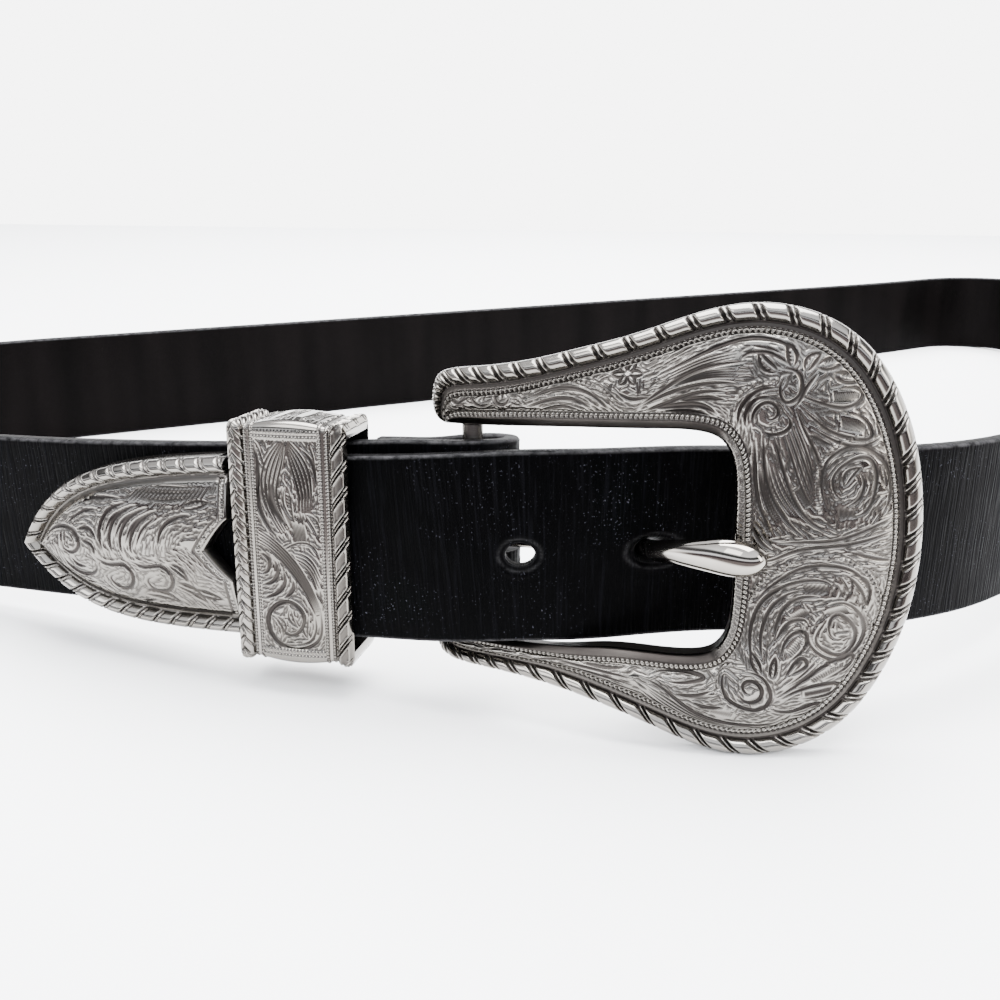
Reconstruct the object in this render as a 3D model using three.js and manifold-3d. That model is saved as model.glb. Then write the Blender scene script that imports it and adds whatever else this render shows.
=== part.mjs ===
// A western belt, fastened and standing on its edge: a leather strap with a cast buckle, keeper and tip.
// Units are millimetres, +Z is up, +X is to the wearer's left and the buckle faces -Y.
// The belt is laid out flat first, with the strap's lower edge at height 0, and the whole group is then
// tipped onto the floor, where it rests on the buckle's rim and on the far side of the strap.
import * as THREE from 'three';
import { mergeVertices } from 'three/addons/utils/BufferGeometryUtils.js';
import Module from 'manifold-3d';

const wasm = await Module();
wasm.setup();

// Driving dimensions
const STRAP_WIDTH = 33;
const STRAP_THICK = 3;
const STRAP_CHAMFER = 0.5;
const TOUCH_GAP = 0.3;
const FOLD_RADIUS = 4.1;
const FOLD_X = -2;
const FOLD_Y = 7.95;
const FOLD_LIFT = 4.37;
const BUCKLE_LEAN = THREE.MathUtils.degToRad(6.5);
const BUCKLE_YAW = THREE.MathUtils.degToRad(-12);
const BUCKLE_ROLL = THREE.MathUtils.degToRad(1.5);
const BUCKLE_BEND_RADIUS = 100;
const BUCKLE_CENTRE = new THREE.Vector3(24.7, -6.4, 23.7);
const BAR_RADIUS = 1.8;
const BAR_U = -31.6;
const BAR_W = -8.0;
const HOLE_SPACING = 23.2;
const HOLE_DROP = 1.2;
const FREE_HOLE = { long: 5.1, tall: 4 };
const PRONG_HOLE = { long: 7.8, tall: 5 };
const TIP_LENGTH = 47;
const KEEPER = {
  fromEnd: 60.1, width: 21.9, depth: 13.8, height: 44.2, wallDepth: 1.5, wallHeight: 2.7, corner: 1.6,
  bevel: 0.5, front: 4.8, rise: 0.9, topDome: 0.6, ridge: 0.86, pitch: 4.6, slant: 0.6,
  cut: { length: 2, width: 0.45, depth: 0.6 },
};
const KEEPER_TILT = THREE.MathUtils.degToRad(3.7);
const KEEPER_TWIST = THREE.MathUtils.degToRad(5);
const TILT = THREE.MathUtils.degToRad(2.93);
const FAR_SIDE_HEADING = THREE.MathUtils.degToRad(25);

const HOLE_REACH = 2.2;
const HOLE_SIDES = 14;
const ROUTE_STEP = { long: 30, turn: THREE.MathUtils.degToRad(9) };
const FREE_HOLE_FROM_END = 100.8;
const BILLET_END_STEPS = [47, 40, 33, 27, 22, 18, 14.5, 11.5, 9, 7, 5.3, 4.2];
const TIP = {
  half: 16.9, roundness: 10.5, wall: 0.9, play: 0.48, back: 2.6, rim: 2.9, rimShare: 0.55, rope: 1.4,
  crest: 0.42, dome: 1.9, fullFrom: 6, hollowFrom: 2.7, notchDeep: 3.8, notchHalf: 5.4, pitch: 3.9,
  cut: { length: 2.7, width: 0.45, depth: 0.6 },
};
const SLOT_STEP = { long: 6, turn: THREE.MathUtils.degToRad(16) };
const SLOT = { tall: 7, reach: 11, proud: 0.9, chamfer: 0.1 };
const TIP_STEPS = [0.25, 0.8, 1.6, 2.6, 3.8, 5.3, 7, 9, 11.5, 14.5, 18, 22, 26, 30, 34, 38.5, 43, 47];
const RIM = { width: 3.3, foot: 0.3, height: 1.4, fullness: 0.6 };
const DOME = { foot: 0.9, most: 2.3, perWidth: 0.09, fullness: 0.7 };
const LIP = { width: 2, height: 1.6, rounding: 0.4, edge: 0.5 };
const FRAME_BACK = {
  depth: 1.8, hollow: 1, hollowFrom: 14, border: 0.2, borderMost: 3, corner: 0.5, edge: 0.3,
};
const FRAME_OPENING = 37.4;
const LUG = { from: 0.6, to: 4.6, wall: 1.3, barInto: 2 };
const ROPE = { pitch: 4.5, slant: 0.45, cut: { length: 3, width: 0.45, depth: 0.7 } };
const PRONG_RING = { outer: 4.2, tall: 5, middle: 20.9 };
const SCREW = {
  x: -16.5, heights: [10, 23], post: 1.7, head: 3, headThick: 0.9, bevel: 0.3, stack: 6, sides: 16,
};

// The strap's middle line seen from above, from the fold at the bar round to the end of the billet.
// lift is the height of its lower edge, x and y are taken halfway up, and lean is how many degrees its top
// lies back from the buckle's side.
const BODY_ROWS = [
  { x: -2, y: 3.85, lift: 4.83, lean: 6.5 },
  { x: -6, y: 3.9, lift: 4.75, lean: 6.5 },
  { x: -11, y: 5.1, lift: 4.6, lean: 5.8 },
  { x: -18, y: 8, lift: 4.1, lean: 4.6 },
  { x: -34, y: 12.9, lift: 2.7, lean: 3.2 },
  { x: -60, y: 22.4, lift: 0.7, lean: 1.5 },
  { x: -90, y: 33.6, lift: -1, lean: 0 },
  { x: -123, y: 45, lift: -1.4, lean: 0 },
  { x: -151, y: 60, lift: -1, lean: 0 },
  { x: -172, y: 82, lift: -0.5, lean: 0 },
  { x: -181, y: 110, lift: 0, lean: 0 },
  { x: -176, y: 136, lift: 0, lean: 0 },
  { x: -158, y: 154.5, lift: 0, lean: 0 },
  { x: -128, y: 170.3, lift: 0, lean: 0 },
  { x: -60, y: 202, lift: 0, lean: 0 },
  { x: 20, y: 239.5, lift: 0, lean: 0 },
  { x: 100, y: 276.6, lift: 0, lean: 0 },
  { x: 168, y: 308, lift: 0, lean: 0 },
  { x: 200, y: 326, lift: 0, lean: 0 },
  { x: 219, y: 333.5, lift: 0, lean: 0 },
  { x: 237, y: 327, lift: 0, lean: 0 },
  { x: 246, y: 308, lift: 0, lean: 0 },
  { x: 243, y: 280, lift: 0, lean: 0 },
  { x: 219, y: 228, lift: 0, lean: 0 },
  { x: 185, y: 165, lift: 0, lean: 0 },
  { x: 152, y: 104, lift: 0, lean: 0 },
  { x: 124, y: 54, lift: 0.2, lean: 0 },
  { x: 96, y: 23.4, lift: 0.3, lean: 0.3 },
  { x: 64, y: 7.6, lift: 2.1, lean: 1.8 },
  { x: 36, y: 4, lift: 3.4, lean: 3 },
  { x: 18, y: 0.2, lift: 4.1, lean: 4 },
  { x: 5, y: -0.9, lift: 4.3, lean: 4.3 },
  { x: -8, y: 0.7, lift: 3.5, lean: 4.2 },
  { x: -19, y: 4.1, lift: 2.4, lean: 3.6 },
  { x: -36, y: 9.3, lift: 1.25, lean: 2.6 },
  { x: -62, y: 17.8, lift: -0.8, lean: 1 },
  { x: -92.6, y: 28.7, lift: -3.4, lean: 0 },
];

// The end of the strap that is folded back, from its cut end to the fold.
const RETURN_ROWS = [
  { x: -20.8, y: 12.65, lift: 3.4, lean: 4.6 },
  { x: -17, y: 11.4, lift: 3.6, lean: 5 },
  { x: -12.5, y: 10.4, lift: 3.7, lean: 5.6 },
  { x: -8, y: 10.9, lift: 3.8, lean: 6.3 },
  { x: -5, y: 11.7, lift: 3.9, lean: 6.5 },
  { x: -2, y: 12.05, lift: 3.9, lean: 6.5 },
];

// A smooth curve through rows of numbers. Each coordinate is a cubic spline with equal steps.
function controlRows(rows) {
  let control = rows.map((row) => [...row]);
  for (let pass = 0; pass < 30; pass += 1) {
    const previous = control;
    control = rows.map((row, i) => {
      const before = neighbour(previous, i - 1);
      const after = neighbour(previous, i + 1);
      return row.map((value, k) => {
        const reached = (before[k] + 4 * previous[i][k] + after[k]) / 6;
        return previous[i][k] + value - reached;
      });
    });
  }
  return control;
}

// Past either end the control rows go on in a straight line.
function neighbour(rows, i) {
  const last = rows.length - 1;
  if (i < 0) {
    return rows[0].map((value, k) => 2 * value - rows[1][k]);
  }
  if (i > last) {
    return rows[last].map((value, k) => 2 * value - rows[last - 1][k]);
  }
  return rows[i];
}

function curveAt(control, t) {
  const i = Math.min(Math.floor(t), control.length - 2);
  const f = t - i;
  const g = 1 - f;
  const shares = [g ** 3, 3 * f ** 3 - 6 * f ** 2 + 4, 3 * g ** 3 - 6 * g ** 2 + 4, f ** 3];
  const near = shares.map((_, j) => neighbour(control, i - 1 + j));
  return control[0].map((_, k) => shares.reduce((sum, share, j) => sum + (share / 6) * near[j][k], 0));
}

// Closed solids as index meshes
function meshFrom(points, faces) {
  const geometry = new THREE.BufferGeometry();
  const flat = points.flatMap((p) => p.toArray());
  geometry.setAttribute('position', new THREE.Float32BufferAttribute(flat, 3));
  geometry.setIndex(faces.flat());
  if (signedVolume(geometry) < 0) {
    geometry.setIndex(faces.map(([a, b, c]) => [a, c, b]).flat());
  }
  return geometry;
}

function signedVolume(geometry) {
  const position = geometry.attributes.position;
  const index = geometry.index.array;
  const [a, b, c] = [new THREE.Vector3(), new THREE.Vector3(), new THREE.Vector3()];
  let sum = 0;
  for (let i = 0; i < index.length; i += 3) {
    a.fromBufferAttribute(position, index[i]);
    b.fromBufferAttribute(position, index[i + 1]);
    c.fromBufferAttribute(position, index[i + 2]);
    sum += a.dot(b.cross(c)) / 6;
  }
  return sum;
}

// Skins a row of rings that all have the same number of points, and closes both ends with a fan.
function loft(rings) {
  const size = rings[0].length;
  const points = rings.flat();
  const faces = [];
  for (let r = 0; r + 1 < rings.length; r += 1) {
    for (let k = 0; k < size; k += 1) {
      const a = r * size + k;
      const b = r * size + ((k + 1) % size);
      faces.push([a, b, b + size], [a, b + size, a + size]);
    }
  }
  for (const [ring, flip] of [[0, true], [rings.length - 1, false]]) {
    const centre = new THREE.Vector3();
    rings[ring].forEach((p) => centre.addScaledVector(p, 1 / size));
    const hub = points.push(centre) - 1;
    for (let k = 0; k < size; k += 1) {
      const a = ring * size + k;
      const b = ring * size + ((k + 1) % size);
      faces.push(flip ? [b, a, hub] : [a, b, hub]);
    }
  }
  return meshFrom(points, faces);
}

function toSolid(geometry) {
  const bare = geometry.clone();
  bare.deleteAttribute('normal');
  bare.deleteAttribute('uv');
  const merged = mergeVertices(bare, 1e-5);
  const mesh = new wasm.Mesh({
    numProp: 3,
    vertProperties: new Float32Array(merged.attributes.position.array),
    triVerts: new Uint32Array(merged.index.array),
  });
  return new wasm.Manifold(mesh);
}

function toGeometry(solid) {
  const mesh = solid.getMesh();
  const geometry = new THREE.BufferGeometry();
  geometry.setAttribute('position', new THREE.BufferAttribute(new Float32Array(mesh.vertProperties), 3));
  geometry.setIndex(new THREE.BufferAttribute(new Uint32Array(mesh.triVerts), 1));
  return geometry;
}

// The strap's route as a dense row of points, with its section's directions at each.
function densePath(rows, step) {
  const control = controlRows(rows.map(({ x, y, lift, lean }) => [x, y, lift, lean]));
  const points = [];
  for (let t = 0; t < rows.length - 1; t += step) {
    points.push(curveAt(control, t));
  }
  points.push(curveAt(control, rows.length - 1));
  return points;
}

function foldPath(steps) {
  const points = [];
  for (let i = 1; i < steps; i += 1) {
    const angle = Math.PI / 2 - (Math.PI * i) / steps;
    const across = FOLD_RADIUS * Math.sin(angle);
    points.push([
      FOLD_X + FOLD_RADIUS * Math.cos(angle),
      FOLD_Y + across * Math.cos(BUCKLE_LEAN),
      FOLD_LIFT - across * Math.sin(BUCKLE_LEAN),
      THREE.MathUtils.radToDeg(BUCKLE_LEAN),
    ]);
  }
  return points;
}

function withFrames(points) {
  const places = points.map(([x, y, lift]) => new THREE.Vector3(x, y, lift + STRAP_WIDTH / 2));
  let along = 0;
  return points.map((row, i) => {
    const before = places[Math.max(i - 1, 0)];
    const after = places[Math.min(i + 1, places.length - 1)];
    const forward = after.clone().sub(before).normalize();
    const up = new THREE.Vector3(0, Math.tan(THREE.MathUtils.degToRad(row[3])), 1);
    up.addScaledVector(forward, -up.dot(forward)).normalize();
    const out = up.clone().cross(forward);
    along += i > 0 ? places[i].distanceTo(places[i - 1]) : 0;
    return { place: places[i], forward, up, out, along };
  });
}

const CHAPE = [...densePath(RETURN_ROWS, 0.05), ...foldPath(24)];
const ROUTE = withFrames([...CHAPE, ...densePath(BODY_ROWS, 0.05)]);
const ROUTE_LENGTH = ROUTE[ROUTE.length - 1].along;

// The route's frame at a distance back from the end of the billet.
function frameFromEnd(distance) {
  const along = ROUTE_LENGTH - distance;
  const i = Math.min(ROUTE.findIndex((f) => f.along >= along), ROUTE.length - 1);
  const a = ROUTE[Math.max(i - 1, 0)];
  const b = ROUTE[i];
  const f = b.along > a.along ? (along - a.along) / (b.along - a.along) : 0;
  return {
    place: a.place.clone().lerp(b.place, f),
    forward: a.forward.clone().lerp(b.forward, f).normalize(),
    up: a.up.clone().lerp(b.up, f).normalize(),
    out: a.out.clone().lerp(b.out, f).normalize(),
  };
}

// A point of the strap's section: out from its middle line, and up from its lower edge.
function onFrame(frame, out, up) {
  return frame.place.clone().addScaledVector(frame.out, out).addScaledVector(frame.up, up - STRAP_WIDTH / 2);
}

function slabRing(frame, thick, low, high, chamfer) {
  const t = thick / 2;
  const c = chamfer;
  const corners = [[t, low + c], [t, high - c], [t - c, high], [c - t, high],
    [-t, high - c], [-t, low + c], [c - t, low], [t - c, low]];
  return corners.map(([out, up]) => onFrame(frame, out, up));
}

// Keeps a frame where the strap has turned by enough or run far enough since the last one.
function thinOut(frames, step) {
  const kept = [frames[0]];
  for (const frame of frames.slice(1, -1)) {
    const last = kept[kept.length - 1];
    const turned = frame.forward.angleTo(last.forward);
    if (frame.along - last.along > step.long || turned > step.turn) {
      kept.push(frame);
    }
  }
  kept.push(frames[frames.length - 1]);
  return kept;
}

// Height of the strap and of its metal cap, either side of the middle, at a distance from the cap's point.
function archHalf(distance) {
  return TIP.half * (1 - Math.exp(-distance / TIP.roundness));
}

function strapSolid() {
  const frames = thinOut(ROUTE, ROUTE_STEP);
  const rings = [];
  for (const frame of frames) {
    const fromEnd = ROUTE_LENGTH - frame.along;
    if (fromEnd > TIP_LENGTH) {
      rings.push(slabRing(frame, STRAP_THICK, 0, STRAP_WIDTH, STRAP_CHAMFER));
    }
  }
  for (const fromEnd of BILLET_END_STEPS) {
    const half = Math.min(STRAP_WIDTH / 2, archHalf(fromEnd) - TIP.wall - TIP.play);
    const middle = STRAP_WIDTH / 2;
    const frame = frameFromEnd(fromEnd);
    rings.push(slabRing(frame, STRAP_THICK, middle - half, middle + half, STRAP_CHAMFER));
  }
  let strap = toSolid(loft(rings));
  strap = strap.subtract(slotCutter());
  strap = strap.subtract(holeCutter(FREE_HOLE_FROM_END, FREE_HOLE));
  strap = strap.subtract(holeCutter(FREE_HOLE_FROM_END + HOLE_SPACING, PRONG_HOLE));
  strap = strap.subtract(holeCutter(FREE_HOLE_FROM_END + 2 * HOLE_SPACING, FREE_HOLE));
  for (const up of SCREW.heights) {
    strap = strap.subtract(screwCutter(up));
  }
  return strap;
}

// The slot in the fold that lets the prong ring round the bar.
function slotCutter() {
  const foldStart = ROUTE.findIndex((f) => f.place.x > FOLD_X - SLOT.reach);
  const foldEnd = ROUTE.findIndex((f, i) => i > CHAPE.length && f.place.x < FOLD_X - SLOT.reach);
  const frames = thinOut(ROUTE.slice(foldStart, foldEnd), SLOT_STEP);
  const low = (STRAP_WIDTH - SLOT.tall) / 2;
  const high = low + SLOT.tall;
  return toSolid(loft(frames.map((f) => slabRing(f, STRAP_THICK + SLOT.proud, low, high, SLOT.chamfer))));
}

function holeCutter(fromEnd, { long, tall }) {
  const frame = frameFromEnd(fromEnd);
  const rings = [-1, 1].map((side) => Array.from({ length: HOLE_SIDES }, (_, k) => {
    const angle = (2 * Math.PI * k) / HOLE_SIDES;
    const up = STRAP_WIDTH / 2 - HOLE_DROP + (tall / 2) * Math.sin(angle);
    const point = onFrame(frame, side * HOLE_REACH, up);
    return point.addScaledVector(frame.forward, (long / 2) * Math.cos(angle));
  }));
  return toSolid(loft(rings));
}

function screwFrame() {
  return ROUTE.find((f, i) => i > CHAPE.length && f.place.x < SCREW.x);
}

// A round solid about a frame's outward direction, from rows of distance out and radius.
function turned(frame, up, rows, sides) {
  return toSolid(loft(rows.map(({ out, radius }) => Array.from({ length: sides }, (_, k) => {
    const angle = (2 * Math.PI * k) / sides;
    const point = onFrame(frame, out, up + radius * Math.sin(angle));
    return point.addScaledVector(frame.forward, radius * Math.cos(angle));
  }))));
}

const STRAP_FACE = STRAP_THICK / 2;

function screwCutter(up) {
  const seat = STRAP_FACE - SCREW.headThick - TOUCH_GAP;
  return turned(screwFrame(), up, [
    { out: -SCREW.stack - TOUCH_GAP, radius: SCREW.post + TOUCH_GAP },
    { out: seat, radius: SCREW.post + TOUCH_GAP },
    { out: seat, radius: SCREW.head + TOUCH_GAP },
    { out: STRAP_FACE + TOUCH_GAP, radius: SCREW.head + TOUCH_GAP },
  ], SCREW.sides);
}

function screwSolid(up) {
  const back = -SCREW.stack - TOUCH_GAP;
  return turned(screwFrame(), up, [
    { out: back - SCREW.headThick, radius: SCREW.head - SCREW.bevel },
    { out: back - SCREW.headThick + SCREW.bevel, radius: SCREW.head },
    { out: back, radius: SCREW.head },
    { out: back, radius: SCREW.post },
    { out: STRAP_FACE - SCREW.headThick, radius: SCREW.post },
    { out: STRAP_FACE - SCREW.headThick, radius: SCREW.head },
    { out: STRAP_FACE - SCREW.bevel, radius: SCREW.head },
    { out: STRAP_FACE, radius: SCREW.head - SCREW.bevel },
  ], SCREW.sides);
}

// The buckle's own directions: across towards its round side, up along the bar, and out of its face.
function buckleAxes() {
  const out = new THREE.Vector3(
    Math.sin(BUCKLE_YAW) * Math.cos(BUCKLE_LEAN),
    -Math.cos(BUCKLE_YAW) * Math.cos(BUCKLE_LEAN),
    Math.sin(BUCKLE_LEAN),
  );
  const level = new THREE.Vector3(Math.cos(BUCKLE_YAW), Math.sin(BUCKLE_YAW), 0);
  const steep = out.clone().cross(level);
  return { across: level.applyAxisAngle(out, BUCKLE_ROLL), up: steep.applyAxisAngle(out, BUCKLE_ROLL), out };
}

const BUCKLE = buckleAxes();

function buckleFlat(u, v, w) {
  return BUCKLE_CENTRE.clone().addScaledVector(BUCKLE.across, u).addScaledVector(BUCKLE.up, v)
    .addScaledVector(BUCKLE.out, w);
}

// The face is bent back round an upright axis, as a belt buckle is.
function onBuckle(u, v, height) {
  return buckleFlat(u, v, height - (u * u) / (2 * BUCKLE_BEND_RADIUS));
}

// Half of the frame, from the inner corner of a horn's end, round that end and along to the middle of the
// round side. The lower horn is the slimmer.
const FRAME_ROWS = [
  { outerU: -36.4, innerU: -35.9, upperOuter: 18.2, upperInner: 18, lowerOuter: 19.6, lowerInner: 19.4 },
  { outerU: -37.8, innerU: -35.4, upperOuter: 19.4, upperInner: 18, lowerOuter: 20.2, lowerInner: 19.4 },
  { outerU: -38.4, innerU: -34.9, upperOuter: 21.6, upperInner: 18, lowerOuter: 21.1, lowerInner: 19.3 },
  { outerU: -38.2, innerU: -34.3, upperOuter: 24.2, upperInner: 18, lowerOuter: 22.3, lowerInner: 19.3 },
  { outerU: -36.9, innerU: -33.3, upperOuter: 26.5, upperInner: 18, lowerOuter: 23.7, lowerInner: 19.3 },
  { outerU: -33.6, innerU: -31.2, upperOuter: 27.5, upperInner: 18, lowerOuter: 24.6, lowerInner: 19.3 },
  { outerU: -27.6, innerU: -27, upperOuter: 28, upperInner: 18, lowerOuter: 25, lowerInner: 19.3 },
  { outerU: -20, innerU: -21, upperOuter: 29.1, upperInner: 18.1, lowerOuter: 25.8, lowerInner: 19.3 },
  { outerU: -12.5, innerU: -14, upperOuter: 30.8, upperInner: 18.2, lowerOuter: 27.4, lowerInner: 19.1 },
  { outerU: -5.2, innerU: -7.5, upperOuter: 32.6, upperInner: 18.2, lowerOuter: 29.7, lowerInner: 18.6 },
  { outerU: 1.5, innerU: -1, upperOuter: 34.7, upperInner: 18.2, lowerOuter: 32.3, lowerInner: 18.8 },
  { outerU: 8.8, innerU: 5, upperOuter: 36.9, upperInner: 18.1, lowerOuter: 35.1, lowerInner: 19.1 },
  { outerU: 17, innerU: 9.4, upperOuter: 37.7, upperInner: 17.2, lowerOuter: 36.3, lowerInner: 18.5 },
  { outerU: 25.4, innerU: 11.6, upperOuter: 35.7, upperInner: 15.2, lowerOuter: 34.5, lowerInner: 16.4 },
  { outerU: 32.5, innerU: 12.6, upperOuter: 30.9, upperInner: 12.5, lowerOuter: 29.8, lowerInner: 13.5 },
  { outerU: 37.6, innerU: 12.9, upperOuter: 23.8, upperInner: 9.5, lowerOuter: 22.6, lowerInner: 10 },
  { outerU: 40.8, innerU: 13, upperOuter: 15.8, upperInner: 6.4, lowerOuter: 14.9, lowerInner: 6.6 },
  { outerU: 42.4, innerU: 13, upperOuter: 7.9, upperInner: 3.2, lowerOuter: 7.3, lowerInner: 3.3 },
  { outerU: 42.9, innerU: 13, upperOuter: 0, upperInner: 0, lowerOuter: 0, lowerInner: 0 },
];

// Where the section has points: millimetres in from the outer edge, shares of the field and millimetres
// from the inner edge. Up to the narrow width all of them are shares of the width.
const SECTION = {
  narrow: 6,
  lowDome: 8,
  rim: [0, 0.5, 1.5, 2.5, RIM.width],
  field: [0.12, 0.34, 0.6, 0.86],
  lip: [LIP.width, LIP.edge, 0],
  shares: [0, 0.08, 0.25, 0.42, 0.5, 0.55, 0.6, 0.65, 0.7, 0.8, 0.92, 1],
};

function frameStations(steps) {
  const upper = FRAME_ROWS.map((row) => [row.outerU, row.upperOuter, row.innerU, row.upperInner]);
  const lower = FRAME_ROWS.map((row) => [row.outerU, -row.lowerOuter, row.innerU, -row.lowerInner]);
  const rows = [...upper, ...lower.slice(0, -1).reverse()];
  const control = controlRows(rows);
  const count = (rows.length - 1) * steps;
  return Array.from({ length: count + 1 }, (_, i) => curveAt(control, i / steps));
}

function stationWidth([outerU, outerV, innerU, innerV]) {
  return Math.hypot(innerU - outerU, innerV - outerV);
}

// A point of the frame at a distance in from its outer edge.
function acrossStation(station, distance, height) {
  const [outerU, outerV, innerU, innerV] = station;
  const f = distance / stationWidth(station);
  return onBuckle(outerU + f * (innerU - outerU), outerV + f * (innerV - outerV), height);
}

// Height of the face at a distance in from the outer edge, where the frame is so wide.
function faceHeight(distance, width) {
  const field = (distance - RIM.width) / (width - RIM.width - LIP.width);
  if (distance <= RIM.width) {
    return RIM.foot + RIM.height * Math.sin((Math.PI * distance) / RIM.width) ** RIM.fullness;
  }
  if (field < 1) {
    const dome = Math.min(DOME.most, DOME.perWidth * width);
    return DOME.foot + dome * Math.sin(Math.PI * Math.max(field, 0)) ** DOME.fullness;
  }
  return LIP.height;
}

function frontPlaces(width) {
  if (width <= SECTION.narrow) {
    return SECTION.shares.map((share) => share * width);
  }
  const field = width - RIM.width - LIP.width;
  return [
    ...SECTION.rim,
    ...SECTION.field.map((share) => RIM.width + share * field),
    ...SECTION.lip.map((inward) => width - inward),
  ];
}

function backSection(width) {
  const { depth, hollow, hollowFrom, border, borderMost, corner, edge } = FRAME_BACK;
  const middle = width > hollowFrom ? hollow - depth : -depth;
  return [
    [width - edge, -depth],
    [width * (1 - border), -depth],
    [width / 2, middle],
    [Math.min(borderMost, border * width), -depth],
    [Math.min(corner, border * width / 2), -depth * (1 - border)],
  ];
}

function frameRing(station) {
  const width = stationWidth(station);
  const lower = Math.min(1, width / SECTION.narrow);
  const front = frontPlaces(width).map((d) => [d, faceHeight(d, Math.max(width, SECTION.lowDome)) * lower]);
  front[front.length - 1][1] -= LIP.rounding * lower;
  return [...front, ...backSection(width)].map(([d, height]) => acrossStation(station, d, height));
}

// A V cut across a raised rope edge: a wedge whose keel lies along the cut.
function wedge(middle, along, across, out, { length, width, depth }) {
  const ends = [-length / 2, length / 2].map((s) => {
    const base = middle.clone().addScaledVector(across, s);
    return [
      base.clone().addScaledVector(out, -depth),
      base.clone().addScaledVector(out, depth).addScaledVector(along, width),
      base.clone().addScaledVector(out, depth).addScaledVector(along, -width),
    ];
  });
  return toSolid(loft(ends));
}

// Wedges at equal steps along a raised edge, all slanted the same way.
function ropeCuts(points, outs, pitch, slant, size) {
  const cuts = [];
  let travelled = pitch / 2;
  for (let i = 1; i < points.length; i += 1) {
    const step = points[i].distanceTo(points[i - 1]);
    travelled += step;
    if (travelled < pitch) {
      continue;
    }
    travelled -= pitch;
    const along = points[i].clone().sub(points[i - 1]).normalize();
    const across = outs[i].clone().cross(along).normalize();
    const cross = across.clone().multiplyScalar(Math.cos(slant)).addScaledVector(along, Math.sin(slant));
    const forward = cross.clone().cross(outs[i]).normalize();
    cuts.push(wedge(points[i], forward, cross, outs[i], size));
  }
  return cuts;
}

function subtractAll(solid, cuts) {
  return cuts.reduce((rest, cut) => rest.subtract(cut), solid);
}

function frameSolid() {
  let frame = toSolid(loft(frameStations(2).map(frameRing)));
  const crest = frameStations(12).filter((station) => stationWidth(station) > SECTION.narrow);
  const points = crest.map((station) => acrossStation(station, RIM.width / 2, RIM.foot + RIM.height));
  const outs = points.map(() => BUCKLE.out);
  frame = subtractAll(frame, ropeCuts(points, outs, ROPE.pitch, ROPE.slant, ROPE.cut));
  const bar = [-1, 1].map((side) => barRing(BAR_RADIUS, side * (FRAME_OPENING / 2 + LUG.barInto)));
  frame = frame.add(toSolid(loft(bar)));
  for (const side of [-1, 1]) {
    const lug = [LUG.from, LUG.to].map((v) => barRing(BAR_RADIUS + LUG.wall, side * (FRAME_OPENING / 2 + v)));
    frame = frame.add(toSolid(loft(lug)));
  }
  return frame;
}

function barRing(radius, v) {
  const sides = 16;
  return Array.from({ length: sides }, (_, k) => {
    const angle = (2 * Math.PI * k) / sides;
    return buckleFlat(BAR_U + radius * Math.cos(angle), v, BAR_W + radius * Math.sin(angle));
  });
}

// The prong's middle line after its loop, with its half height and half depth.
const PRONG_ROWS = [
  { x: -4.2, y: 4.9, z: 20.9, tall: 1.7, deep: 1.1 },
  { x: 1, y: 4.2, z: 20.8, tall: 1.7, deep: 1.3 },
  { x: 8, y: 4, z: 20.2, tall: 1.7, deep: 1.4 },
  { x: 15, y: 4.3, z: 19.6, tall: 1.7, deep: 1.4 },
  { x: 21, y: 4.8, z: 19.1, tall: 1.6, deep: 1.4 },
  { x: 24.7, y: 2.8, z: 19.2, tall: 1.65, deep: 1.5 },
  { x: 27.6, y: -1.4, z: 20.2, tall: 1.85, deep: 1.7 },
  { x: 30.6, y: -6.3, z: 21.6, tall: 2.3, deep: 2 },
  { x: 33.4, y: -10.6, z: 22.6, tall: 2.7, deep: 2.4 },
  { x: 36.2, y: -13.5, z: 23.1, tall: 3, deep: 2.6 },
  { x: 38.9, y: -14.6, z: 23.1, tall: 2.4, deep: 2.1 },
  { x: 40.6, y: -14.4, z: 22.9, tall: 1.2, deep: 1.1 },
  { x: 41.1, y: -14.1, z: 22.8, tall: 0.4, deep: 0.4 },
];

function prongSolid() {
  const control = controlRows(PRONG_ROWS.map(({ x, y, z, tall, deep }) => [x, y, z, tall, deep]));
  const steps = 2;
  const count = (PRONG_ROWS.length - 1) * steps;
  const rows = Array.from({ length: count + 1 }, (_, i) => curveAt(control, i / steps));
  const sides = 10;
  const rings = rows.map((row, i) => {
    const before = new THREE.Vector3(...rows[Math.max(i - 1, 0)].slice(0, 3));
    const after = new THREE.Vector3(...rows[Math.min(i + 1, count)].slice(0, 3));
    const forward = after.sub(before).normalize();
    const up = BUCKLE.up.clone().addScaledVector(forward, -BUCKLE.up.dot(forward)).normalize();
    const side = up.clone().cross(forward);
    return Array.from({ length: sides }, (_, k) => {
      const angle = (2 * Math.PI * k) / sides;
      return new THREE.Vector3(row[0], row[1], row[2])
        .addScaledVector(up, row[3] * Math.cos(angle)).addScaledVector(side, row[4] * Math.sin(angle));
    });
  });
  return toSolid(loft(rings)).add(ringRoundBar()).subtract(barClearance());
}

function ringRoundBar() {
  const v = (PRONG_RING.middle - buckleFlat(BAR_U, 0, BAR_W).z) / BUCKLE.up.z;
  return toSolid(loft([-1, 1].map((side) => barRing(PRONG_RING.outer, v + side * (PRONG_RING.tall / 2)))));
}

function barClearance() {
  return toSolid(loft([-1, 1].map((side) => barRing(BAR_RADIUS + TOUCH_GAP, side * PRONG_RING.tall * 2))));
}

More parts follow.
